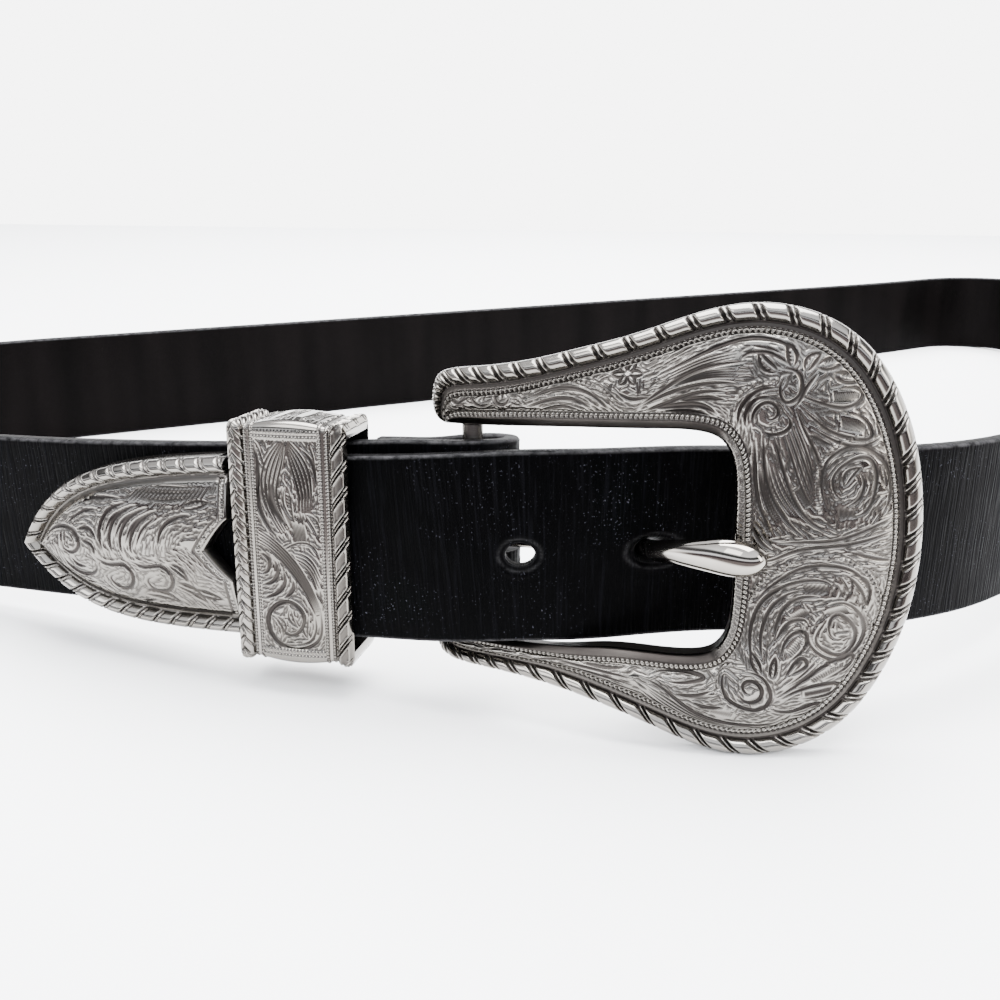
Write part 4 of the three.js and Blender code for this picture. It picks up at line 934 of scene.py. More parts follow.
def frame_stations():
    """Outer u and v, inner u and v at each station, evenly along the outer edge."""
    f = FRAME_ROWS
    upper = f[:, [0, 2, 1, 3]]
    lower = (f[:, [0, 4, 1, 5]] * [1, -1, 1, -1])[-2::-1]
    dense = smooth_curve(np.vstack([upper, lower]), 80)
    middle = (len(f) - 1) * 80
    halves = []
    for part in (dense[:middle + 1], dense[middle:]):
        along = 0.5 * lengths(part[:, :2]) + 0.5 * lengths(part[:, 2:])
        halves.append(at_lengths(part, along, np.linspace(0, along[-1], FRAME_STEPS)))
    return np.vstack([halves[0], halves[1][1:]])


def across_columns():
    """Shares of the way from the outer edge to the inner one: border columns and field columns."""
    rim = np.linspace(0, RIM, 22)
    border = np.linspace(RIM, FIELD_FROM, 13)[1:]
    inner = np.linspace(FIELD_TO, 0, 16)
    return np.concatenate([rim, border]), np.linspace(0, 1, 112)[1:-1], inner


def repeated(turns, pitch):
    """How far from the middle of a pattern's repeat, after so many turns of it."""
    return (np.mod(turns, 1) - 0.5) * pitch


def bead_row(along, away, pitch=BEAD_PITCH, radius=0.43, height=0.48):
    """Half-round beads on a line: along it and away from it, in millimetres."""
    local = repeated(along / pitch, pitch)
    r2 = (local**2 + away**2) / radius**2
    return height * np.sqrt(np.clip(1 - r2, 0, 1))


def v_cut(distance, half_width, depth):
    return depth * np.clip(1 - np.abs(distance) / half_width, 0, 1)


def rope_pitch(u, v):
    """The rope's twist is tighter along the horns and tightest round their ends."""
    side = 1.9 * ramp(u, -34, -8) - 0.8 * ramp(u, 30, 41) * (v < 12) - 0.5 * (v < -10) * ramp(u, -8, 20)
    return 3.2 - 1.5 * (1 - ramp(u, -37.4, -34)) + side


def rope_cuts(near, pitch):
    """Depth of a pair of cuts, and how far the metal between two pairs is rounded off."""
    cut = np.maximum(v_cut(near, 0.42, 0.75), v_cut(near - 0.95, 0.34, 0.6))
    middle = np.mod(near - 0.475 + pitch / 2, pitch) - pitch / 2
    pillow = 0.3 * np.clip(1 - np.abs(middle) / 1.3, 0, 1) ** 1.5
    return np.minimum(cut, 0.8), pillow


FAR = 99.0


def buckle_face(stations):
    """Points and marks of dirt and painted shade on the face, a row at each station."""
    count = len(stations)
    ou, ov, iu, iv = (stations[:, [k]] for k in range(4))
    width = np.hypot(iu - ou, iv - ov)
    rim = np.minimum(RIM, 0.42 * width)
    spread = np.clip((width - 4) / 5, 0.02, 1)
    lip_side = np.clip(width / 10.5, 0.05, 1)
    border, field, inner = (row[None] for row in across_columns())
    from_outer = np.where(border <= RIM, border / RIM * rim, rim + (border - RIM) * spread)
    first = rim + (FIELD_FROM - RIM) * spread
    last = width - FIELD_TO * lip_side
    middle = first + (last - first) * field
    d = np.hstack([from_outer, middle, width - inner * lip_side])
    far = np.full((count, 1), FAR)
    true_d = np.hstack([np.repeat(border, count, 0), FIELD_FROM + middle - first, far.repeat(inner.size, 1)])
    e = np.hstack([far.repeat(border.size + field.size, 1), np.repeat(inner, count, 0)])
    share = d / width
    u = ou + share * (iu - ou)
    v = ov + share * (iv - ov)
    inward = np.clip((d - first) / (last - first), 0, 1)
    height = 0.72 + np.minimum(2.3, 0.09 * width) * np.sin(np.pi * inward) ** 0.75
    in_rim = true_d < RIM
    rope = 0.3 + 1.45 * np.sin(np.pi * np.clip(true_d / RIM, 0, 1)) ** 0.62
    floor = 0.35 - 0.15 * ramp(true_d, GROOVE_END - 0.1, GROOVE_END + 0.1)
    floor = floor + 0.45 * ramp(true_d, 4.7, FIELD_FROM)
    height = np.where(in_rim, rope, np.where(true_d < FIELD_FROM, floor, height))
    right = ramp(iu, 9, 12)
    flat_lip = 1.62 - 0.75 * np.clip(1 - e / 0.75, 0, 1) ** 2
    rolled_lip = 1.3 - 1.5 * np.clip(1 - e / LIP, 0, 1) ** 1.3
    lip = flat_lip * right + rolled_lip * (1 - right)
    band = 0.85
    step = ramp(e, LIP, LIP + 0.2)
    height = np.where(e < FAR, lip * (1 - step) + band * step, height)
    along_rope = lengths(np.column_stack([u[:, 10], v[:, 10]]))
    pitch = rope_pitch(u[:, 10], v[:, 10])
    turns = np.concatenate([[0], np.cumsum(np.diff(along_rope) / (0.5 * (pitch[1:] + pitch[:-1])))])
    phase = turns[:, None] - ROPE_SLANT * true_d / pitch[:, None]
    near = repeated(phase, pitch[:, None])
    cut, pillow = rope_cuts(near, pitch[:, None])
    fade = ramp(true_d, 0.0, 0.5) * (1 - ramp(true_d, RIM - 0.25, RIM))
    cut = np.where(in_rim, cut * (0.4 + 0.6 * fade), 0)
    pillow = np.where(in_rim, pillow * fade, 0)
    bead_line = lengths(np.column_stack([u[:, 29], v[:, 29]]))[:, None]
    beads = np.where(true_d < FAR, bead_row(bead_line, true_d - BEAD_AT), 0)
    lip_line = lengths(np.column_stack([u[:, -14], v[:, -14]]))[:, None]
    inner_beads = np.where(e < FAR, bead_row(lip_line, (e - INNER_BEAD_AT) * 0.75, 0.8, 0.38, 0.4), 0)
    in_field = (true_d >= FIELD_FROM) & (true_d < FAR)
    inside = inward * (last - first)
    edge = ramp(inside, 0.0, 0.3) * ramp(last - first - inside, 0.0, 0.3)
    engraved, raised = buckle_relief().marks(np.stack([u, v], axis=-1), in_field, edge)
    stippled = ((e > 0.4) & (e < LIP)) * right
    stipple = 0.1 * stippled * np.sin(u * 10.7 + 2 * np.sin(v * 3.1)) * np.sin(v * 9.7 + 2 * np.sin(u * 4.3))
    total = height - cut - pillow + beads + inner_beads + raised - engraved + stipple
    total = total * np.clip(0.1 + width / 6, 0, 1)
    # Dirt in the cuts plus painted shade: a dark line at the rim's foot and dark gaps between the beads.
    dirt_and_shade = np.clip(cut / 0.6 + engraved / 0.2, 0, 1)
    dirt_and_shade = np.where((true_d > RIM - 0.25) & (true_d < RIM + 0.3), 1.0, dirt_and_shade)
    between_beads = np.clip(0.62 + 0.5 * (true_d > GROOVE_END) - beads * 5, 0, 1)
    dirt_and_shade = np.where((true_d >= RIM + 0.3) & (true_d < FIELD_FROM), between_beads, dirt_and_shade)
    dirt_and_shade = np.where((e > LIP - 0.05) & (e < FAR), np.clip(1.1 - inner_beads * 5, 0, 1), dirt_and_shade)
    # Dirt in the stippling's hollows; on the horns the rolled inner lip is painted dark as a reflection of
    # the black strap.
    lip_dirt_and_shade = 0.35 * stippled + 4 * np.abs(np.minimum(stipple, 0)) + 0.9 * (1 - right)
    dirt_and_shade = np.where(e < LIP - 0.05, lip_dirt_and_shade, dirt_and_shade)
    return on_buckle(u, v, total), np.clip(dirt_and_shade, 0, 1), share


def buckle_back(stations):
    """The plain back, from the inner edge to the outer one, with the share of the way in of each column."""
    ou, ov, iu, iv = (stations[:, k] for k in range(4))
    width = np.hypot(iu - ou, iv - ov)
    hollow = np.where(width > 14, 1.0, 0.1)
    size = np.clip(0.1 + width / 6, 0, 1)
    section = [(1, 0.2), (1, -0.5), (1, -1.2), (1, -1.62), (0.985, -1.8), (0.9, -1.8), (0.75, -1.7),
               (0.5, hollow - 1.8), (0.25, -1.7), (0.1, -1.8), (0.02, -1.6), (0, -1.0), (0, -0.3)]
    flange = 1 + 0.9 * ramp(-ov, 8, 18) * ramp(ou, -18, 0)
    rows = []
    for k, (part, level) in enumerate(section):
        scale = size * flange if k < 4 else flange if k == 4 else size if k > 9 else 1
        rows.append(on_buckle(ou + part * (iu - ou), ov + part * (iv - ov), level * scale))
    return np.stack(rows, axis=1), np.array([part for part, _ in section])


def buckle_pieces():
    stations = frame_stations()
    face, dirt_and_shade, share = buckle_face(stations)
    back, back_share = buckle_back(stations)
    points = np.concatenate([face, back], axis=1)
    # Painted shade on the back, and on the opening's inner wall a painted dark reflection of the black strap,
    # strongest towards the lower horn.
    behind = np.full(back.shape[:2], 0.25)
    behind[:, :5] = 0.25 + 0.75 * ramp(-stations[:, [1]], 8, 18)
    dirt_and_shade = np.hstack([dirt_and_shade, behind])
    count, columns = points.shape[:2]
    fronts = face.shape[1]
    quads = grid_quads(count, columns)
    normals = vertex_normals(points.reshape(-1, 3), quads, NO_FACES)
    if signed_volume(points.reshape(-1, 3), quads, NO_FACES) < 0:
        normals = -normals
    normals = normals.reshape(count, columns, 3)
    for name, (start, stop) in FRAME_PARTS.items():
        span = slice(start, stop + 1)
        rows = stop + 1 - start
        ends = []
        for row, turn in ((0, 1), (rows - 1, -1)):
            at = row * columns
            front = at + np.arange(fronts)
            behind = at + np.arange(columns - 1, fronts - 1, -1)
            ends.append(ladder(front, behind, share[start + row], back_share[::-1])[:, ::turn])
        make_piece(name, points[span].reshape(-1, 3), grid_quads(rows, columns), np.vstack(ends), ENGRAVED,
                   ["buckle_frame"], {"dirt_and_shade": dirt_and_shade[span].ravel()},
                   normals=normals[span].reshape(-1, 3))


def turned_form(profile, place, sides=40):
    """A round form from rows of (height, radius); place turns (height, a, b) into points."""
    angle = 2 * np.pi * np.arange(sides) / sides
    rings = []
    for height, radius in profile:
        rings.append(place(np.full(sides, height), radius * np.cos(angle), radius * np.sin(angle)))
    points = np.concatenate(rings)
    points, fans = capped(points, len(profile), sides)
    return points, grid_quads(len(profile), sides), fans


def bar_piece():
    """The buckle's bar with its collars, carried by the two horns' lugs."""
    half = 18.7
    foot = [(-4.6, 0.6), (-4.6, 2.2), (-4.2, 2.9), (-1.4, 3.1), (-0.7, 2.9),
            (-0.5, 2.3), (0.2, 2.05), (0.9, 2.0), (1.1, BAR_RADIUS)]
    profile = [(step - half, radius) for step, radius in foot]
    profile += [(h, BAR_RADIUS) for h in np.linspace(-half + 2, half - 2, 12)]
    profile += [(-h, r) for h, r in profile[8::-1]]
    points, quads, fans = turned_form(profile, lambda h, a, b: buckle_flat(BAR_U + a, h, BAR_W + b))
    # The whole bar is painted darker as painted shade.
    marks = {"dirt_and_shade": np.full(len(points), 0.6)}
    make_piece("buckle_bar", points, quads, fans, PLAIN, ["buckle_frame"], marks, sharp=40)


# The prong

PRONG_ROWS = [
    (-4.2, 4.9, 20.9, 1.7, 1.1), (1, 4.2, 20.8, 1.7, 1.3), (8, 4, 20.2, 1.7, 1.4),
    (15, 4.3, 19.6, 1.6, 1.3), (20.6, 4.8, 19.1, 1.3, 1.2), (24, 2.4, 19.4, 1.5, 1.4),
    (25.5, -2.2, 20.4, 1.7, 1.6), (27.3, -5.5, 21.3, 1.95, 1.8), (29.7, -8.4, 22.1, 2.25, 2),
    (32.6, -11, 22.7, 2.65, 2.3), (35.7, -13.2, 23.1, 3, 2.6), (38.6, -14.7, 23.1, 2.5, 2.2),
    (40.5, -14.6, 22.9, 1.2, 1.1), (41.1, -14.3, 22.8, 0.4, 0.4),
]
PRONG_RING = {"outer": 4.2, "tall": 5.0, "middle": 20.9}
PRONG_TURNS = 64


def prong_piece():
    rows = smooth_curve(PRONG_ROWS, 14)
    forward = unit(np.gradient(rows[:, :3], axis=0))
    up = unit(UPWARD - (forward @ UPWARD)[:, None] * forward)
    side = np.cross(up, forward)
    sides = 48
    angle = 2 * np.pi * np.arange(sides) / sides
    c, s = np.cos(angle), np.sin(angle)
    points = (rows[:, None, :3] + up[:, None] * (rows[:, 3, None] * c)[..., None]
              + side[:, None] * (rows[:, 4, None] * s)[..., None]).reshape(-1, 3)
    shaft, fans = capped(points, len(rows), sides)
    shaft_quads = grid_quads(len(rows), sides)
    v = (PRONG_RING["middle"] - buckle_flat(BAR_U, 0, BAR_W)[2]) / UPWARD[2]
    high, outer, inner = PRONG_RING["tall"] / 2, PRONG_RING["outer"], BAR_RADIUS + 0.3
    section = [(-high + 0.9, outer), (high - 0.9, outer), (high - 0.3, outer - 0.25), (high, outer - 0.9),
               (high, inner + 0.4), (high - 0.4, inner), (-high + 0.4, inner), (-high, inner + 0.4),
               (-high, outer - 0.9), (-high + 0.3, outer - 0.25)]
    across, radius = np.array(section).T
    turns = 2 * np.pi * np.arange(PRONG_TURNS) / PRONG_TURNS
    ring = np.concatenate([buckle_flat(BAR_U + radius * math.cos(a), v + across, BAR_W + radius * math.sin(a))
                           for a in turns])
    ring_quads = grid_quads(PRONG_TURNS, len(section), wrap_rows=True)
    if signed_volume(ring, ring_quads, NO_FACES) * signed_volume(shaft, shaft_quads, fans) < 0:
        ring_quads = ring_quads[:, ::-1]
    every = np.vstack([shaft, ring])
    quads = np.vstack([shaft_quads, ring_quads + len(shaft)])
    marks = {"dirt_and_shade": np.zeros(len(every))}
    make_piece("prong_chrome", every, quads, fans, PLAIN, ["prong"], marks, sharp=50)


# The keeper

KEEPER = {"from_end": 60.1, "width": 21.9, "front": 4.8, "back": -9.0, "half": 22.1, "corner": 1.6,
          "rise": 0.9, "tilt": 3.7, "twist": 5.0, "wall": 1.5, "wall_high": 2.7}


FRONT, CORNERS, TOP, BACK, BOTTOM = range(5)
KEEPER_DOMES = {FRONT: 0.75, CORNERS: 0.9, TOP: 1.55, BACK: 0.5, BOTTOM: 1.2}


def keeper_axes():
    place, forward, up, out = (v[0] for v in ROUTE.frames(np.array([ROUTE.length - KEEPER["from_end"]])))
    twist = turn_about(up, KEEPER["twist"])
    level, out = twist @ forward, twist @ out
    tilt = turn_about(out, -KEEPER["tilt"])
    return place + up * KEEPER["rise"], tilt @ level, tilt @ up, out


def keeper_path():
    """(out, up, out normal, up normal, face, run) round the keeper, with how far along its face each is."""
    f, b, h, r = KEEPER["front"], KEEPER["back"], KEEPER["half"], KEEPER["corner"]
    normals = np.array([(1, 0), (0, 1), (-1, 0), (0, -1)])
    centres = np.array([(f - r, r - h), (f - r, h - r), (b + r, h - r), (b + r, r - h)])
    rows = []
    counts = (FRONT, 320, 10), (TOP, 46, 8), (BACK, 60, 8), (BOTTOM, 30, 10)
    for k, (face, steps, bends) in enumerate(counts):
        side, turn, end = normals[k], normals[(k + 1) % 4], centres[(k + 1) % 4]
        for spot in np.linspace(centres[k], end, steps):
            rows.append((*(spot + r * side), *side, face, spot[1 - k % 2]))
        for a in np.linspace(0, math.pi / 2, bends)[1:-1]:
            normal = math.cos(a) * side + math.sin(a) * turn
            rows.append((*(end + r * normal), *normal, CORNERS, 0))
    return np.array(rows)


def keeper_relief():
    """The panel: leaves that fan from the top, a band across the middle and a stem curled into a spiral."""
    r = Relief((-8.5, -21), (8.5, 21))
    r.bundle(4, 0.55, 0.26, (-0.8, 19, -3.4, 15.6, -4.6, 11.6, -3.8, 7, -1.2, 2.6), (0.2, 18.6, -0.8, 14.4,
        -1.8, 10.4, -1.2, 6.6, 0.2, 3.6))
    r.bundle(4, 0.55, 0.26, (1, 19, 3.2, 16, 4.4, 12.4, 4.4, 7.2), (0.6, 17.6, 1.4, 13.6, 2.2, 10, 2.4, 6.2))
    r.line(1.3, 0.38, -5.4, 17.8, -5.2, 13.4, -5.6, 9.6, -4.8, 5.6, -2.4, 1.8)
    r.line(1.6, 0.4, -2.6, 11.6, -3, 8.8, -2, 6.2, -0.4, 4.2)
    r.line(0.8, 0.3, 2.9, 17.8, 4.9, 15.2, 5.4, 11.2)
    r.leaf(-5.4, 18.6, -3.4, 13.4, 0.7, 5, 0.45, 0.2, -0.1)
    r.leaf(0.2, 11.2, 1.4, 4.6, 0.9, 7, 0.45, 0.2, -0.12)
    r.leaf(4.6, 18.8, 5.2, 13.6, 0.7, 5, 0.45, 0.2, 0.12)
    r.leaf(3.4, 6.2, 5.4, 1.6, 0.8, 5, 0.45, 0.2, 0.1)
    r.hatch(9, 0.3, 0.14, 0.6, 5, 3, 4.4, 3.4, 0.8, 1.2, 0.6)
    r.bundle(4, 0.55, 0.26, (-5.9, 3, -3.2, 1.4, 0.6, -2.2, 3.7, -7.4, 5.4, -12), (-5.9, 0.6, -3.4, -0.8,
        -0.2, -4, 2.6, -8.2, 4.4, -12.4))
    r.line(0.5, 0.24, -1.2, -0.4, 1.6, 0.8, 4.2, 0.4, 5.6, -2.2)
    r.bundle(3, 0.45, 0.22, (0.8, -0.8, 3.6, -2, 5.4, -5.2), (1.8, -2.6, 3.6, -4.6, 4.9, -8))
    r.line(1.2, 0.36, 5.2, -11, 5.3, -14.6, 4.2, -17.6, 0.2, -19.2, -3.6, -17.6, -4.9, -14.2, -3.6, -11.4,
        -0.8, -10.2, 1.6, -11.6, 2, -14.2, 0, -16.4, -2, -15.4, -1.8, -13.4, -0.6, -13.4)
    r.line(0.5, 0.24, 4.2, -12.6, 4.2, -15.4, 2.8, -17.6, 0, -18.2)
    r.leaf(2.8, -12.6, 2.8, -17, 0.6, 4, 0.45, 0.2, -0.15)
    r.leaf(-3.4, -13, -2.2, -17.2, 0.6, 4, 0.45, 0.2, 0.2)
    r.leaf(-0.4, -11.4, 1, -14.8, 0.5, 3, 0.45, 0.2, -0.2)
    r.line(1, 0.34, -5.6, -1.4, -4, -2.6, -4.4, -4.6, -5.6, -5.2)
    r.line(1, 0.34, -3, -2.4, -2.4, -4.8, -3.6, -6.6, -5.6, -7.4)
    r.line(1, 0.34, -1.4, -4.2, -1.2, -6.8, -3, -8.8, -5.4, -9.8)
    r.line(1, 0.34, 0.4, -6, 0.2, -8, -1.4, -9.4)
    r.fill(0.75, 1.6, 0.4)
    return r.draw()


def keeper_top_relief():
    r = Relief((-9, -9), (9, 6))
    for k in range(7):
        u = -6.6 + 2.2 * k
        r.leaf(u, 2.6, u + 0.7, -5.8, 0.75, 7, 0.45, 0.2, 0.1 * (-1) ** k)
    for k in range(6):
        u = -5.5 + 2.2 * k
        r.line(0.45, 0.22, u, 2.8, u - 0.4, -1.2, u + 0.3, -5.6)
    return r.draw()


def keeper_piece():
    place, forward, up, out = keeper_axes()
    path = keeper_path()
    half_width = KEEPER["width"] / 2
    count = 160
    a = np.linspace(-half_width, half_width, count)
    share = np.abs(a) / half_width
    faces, run = path[:, 4], path[:, 5]
    front, top = faces == FRONT, faces == TOP
    ridge = np.clip(1 - ((share - 0.865) / 0.14) ** 2, 0, 1) ** 0.5
    outer_step = np.clip((1.0 - share) / 0.05, 0, 1) ** 0.5
    base = -1.25 + 0.1 * (share < 0.7)
    profile = np.where(share > 0.725, base + 1.3 * ridge, base + 0.18)
    profile = np.where(share > 0.995, -1.5, profile)
    panel = np.clip(1 - (share / 0.72) ** 2, 0, 1)
    dome = np.array([KEEPER_DOMES[int(face)] for face in faces])
    dome = np.convolve(np.concatenate([dome[-9:], dome, dome[:9]]), np.ones(19) / 19, "valid")
    level = profile[None] + dome[:, None] * panel[None]
    around = lengths(path[:, :2])[:, None]
    left = (a > 0)[None]
    in_ridge = ((share > 0.735) & (share < 0.985))[None]
    local = ((share - 0.865) * half_width)[None]
    pitch = 4.5
    wave = around / pitch
    feather = np.abs(local - 0.1)
    leafy = repeated(2 * wave + 0.6 * feather, pitch / 2)
    boxy = repeated(wave - 0.3 * local, pitch)
    vine = local - 0.1 - 0.35 * np.sin(2 * np.pi * wave)
    cut_left = np.maximum(v_cut(leafy, 0.34, 0.42), v_cut(vine, 0.22, 0.3))
    cut_right = np.maximum(v_cut(boxy, 0.32, 0.6), v_cut(boxy - 0.9, 0.28, 0.5))
    off_box = np.abs(boxy - 0.45 - pitch / 2 * np.sign(boxy - 0.45))
    framed = np.clip(1 - np.maximum(off_box / 1.2, np.abs(local) / 0.85), 0, 1)
    cut_right = np.maximum(cut_right, 0.3 * ramp(framed, 0.0, 0.25))
    cut = np.where(in_ridge, np.where(left, cut_left, cut_right), 0)
    beads = np.zeros_like(level)
    for at in (0.57, 0.685):
        row = bead_row(around, (share[None] - at) * half_width, 0.64, 0.3, 0.26)
        beads = np.maximum(beads, np.where((share < 0.725)[None], row, 0))
    for at in (KEEPER["half"] - 2.6, KEEPER["half"] - 1.7):
        for sign in (-1, 1):
            row = bead_row(a[None], (np.where(front, run, 99) - sign * at)[:, None], 0.64, 0.3, 0.24)
            beads = np.maximum(beads, np.where((share < 0.55)[None], row, 0))
    mesh_a = np.repeat(a[None], len(path), 0)
    flat = np.stack([-mesh_a, np.repeat(run[:, None], count, 1)], -1)
    inside = front[:, None] & (share < 0.53)[None] & (np.abs(run) < KEEPER["half"] - 3.1)[:, None]
    engraved, raised = keeper_relief().marks(flat, inside)
    engraved = np.maximum(engraved, keeper_top_relief().marks(flat, top[:, None] & (share < 0.58)[None])[0])
    level = level - cut + beads + raised - engraved
    # Dirt in the cuts and between the beads, plus painted shade there.
    dirt_and_shade = np.clip(cut / 0.5 + engraved / 0.2, 0, 1)
    border = (np.abs(share - 0.57) < 0.035) | (np.abs(share - 0.685) < 0.035)
    dirt_and_shade = np.where(border[None], np.clip(0.95 - beads * 5, 0, 1), dirt_and_shade)
    level = level * outer_step[None] + (1 - outer_step[None]) * -1.5
    o = path[:, [0]] + path[:, [2]] * level
    h = path[:, [1]] + path[:, [3]] * level
    outer_points = np.stack([o, h, mesh_a], axis=-1)
    inner_o = np.clip(path[:, 0], KEEPER["back"] + KEEPER["wall"], KEEPER["front"] - KEEPER["wall"])
    inner_h = np.clip(path[:, 1], KEEPER["wall_high"] - KEEPER["half"], KEEPER["half"] - KEEPER["wall_high"])
    inner_a = np.linspace(half_width - 0.15, -half_width + 0.15, 6)
    inner = np.stack(np.broadcast_arrays(inner_o[:, None], inner_h[:, None], inner_a[None]), axis=-1)
    grid = np.concatenate([outer_points, inner], axis=1)
    points = (place + grid[..., [0]] * out + grid[..., [1]] * up + grid[..., [2]] * forward)
    # The keeper's inner walls are painted darker as painted shade.
    dirt_and_shade = np.hstack([dirt_and_shade, np.full((len(path), 6), 0.3)])
    columns = grid.shape[1]
    quads = grid_quads(len(path), columns, wrap_rows=True)
    make_piece("keeper_engraved", points.reshape(-1, 3), quads, NO_FACES, ENGRAVED,
               ["keeper"], {"dirt_and_shade": dirt_and_shade.ravel()}, sharp=60)


# The tip

TIP_WALL = 0.9
TIP_BACK = 2.6
TIP_GAP = 0.3
TIP_RIM = 3.0
TIP_SLANT = 1.4
NOTCH_DEEP = 5.2
NOTCH_HALF = 5.8


def tip_relief():
    """(distance from the point, height) engraving of the cap's field."""
    r = Relief((0, -17), (50, 17))
    r.line(*TIP_BOLD, 8, 3.6, 11.6, 6.6, 16.2, 8.6, 21, 9.4, 26.4, 9.2)
    r.line(0.9, 0.32, 12.6, 4.2, 16.6, 6.6, 20.6, 7.2)
    for shift in (0, 2.3, 4.6, 6.8):
        r.line(*TIP_BOLD, 27.6 + shift, 8.6 - 0.2 * shift, 23.0 + shift, 7.0 - 0.3 * shift, 20.6 + shift,
            3.2 - 0.3 * shift, 20.8 + shift, -1)
        r.line(0.7, 0.28, 27.2 + shift, 7.4 - 0.2 * shift, 23.8 + shift, 5.8 - 0.3 * shift, 21.8 + shift,
            2.4 - 0.3 * shift)
    r.line(*TIP_BOLD, 41.6, 6.4, 37.6, 5.8, 34.6, 3.6, 33.4, 0.4)
    r.bundle(2, 0.5, 0.2, (29, 11.8, 33, 11.6, 38, 11.4, 44, 11.2), (30, 9.4, 34, 9, 38.6, 9.2, 43, 9.6))
    r.hatch(13, 0.45, 0.22, 30.6, 11.9, 46, 11.6, 43, 8.2, 26.4, 8.6)
    r.line(*TIP_BOLD, 6.8, 1.2, 8.6, 3, 11.6, 3.8, 14.4, 2.8, 15.2, 0.4, 13.4, -1.2, 11.4, -0.6, 11.2, 0.9)
    r.line(*TIP_BOLD, 15.4, 3.4, 18, 3.6, 19.6, 1.6)
    r.line(0.9, 0.32, 16.2, 1.2, 18.2, 0.4, 18.6, -1.6)
    r.line(*TIP_BOLD, 8.2, -1.6, 9, -4.6, 12, -7, 16.6, -7.8)
    r.line(*TIP_BOLD, 10.4, -2.2, 11.4, -4.4, 14.2, -5.8, 17.2, -5.4, 18.6, -3.6)
    r.line(0.9, 0.32, 12.6, -2.4, 13.6, -3.8, 15.8, -4.2)
    r.line(*TIP_BOLD, 18.4, -1.8, 21.2, -3.4, 24.6, -3.4, 26.2, -5.6, 24.6, -8.2, 21.8, -8, 20.8, -6.4, 22.4,
        -5.4)
    r.line(*TIP_BOLD, 17.4, -9.2, 21.2, -10.8, 26, -11.2, 30.4, -10.6)
    r.line(*TIP_BOLD, 26.2, -2.4, 29.6, -3.6, 33, -3.4, 35, -5.4, 33.8, -8.2, 30.6, -8.4, 29.4, -6.6,
           31.2, -5.6)
    r.leaf(27.4, -9.4, 36, -11.4, 0.9, 7, 0.7, 0.28, 0.1)
    r.leaf(35.2, -7, 41.6, -11.2, 0.9, 7, 0.7, 0.28, 0.12)
    r.leaf(35, -3, 38.6, -6.6, 0.7, 5, 0.7, 0.28, 0.12)
    r.leaf(39.4, 7.6, 45.6, 8.8, 0.8, 5, 0.7, 0.28)
    r.leaf(38.6, -8.2, 45.4, -10, 0.8, 5, 0.7, 0.28)
    r.fill(0.85, 1.8, 0.5)
    return r.draw()


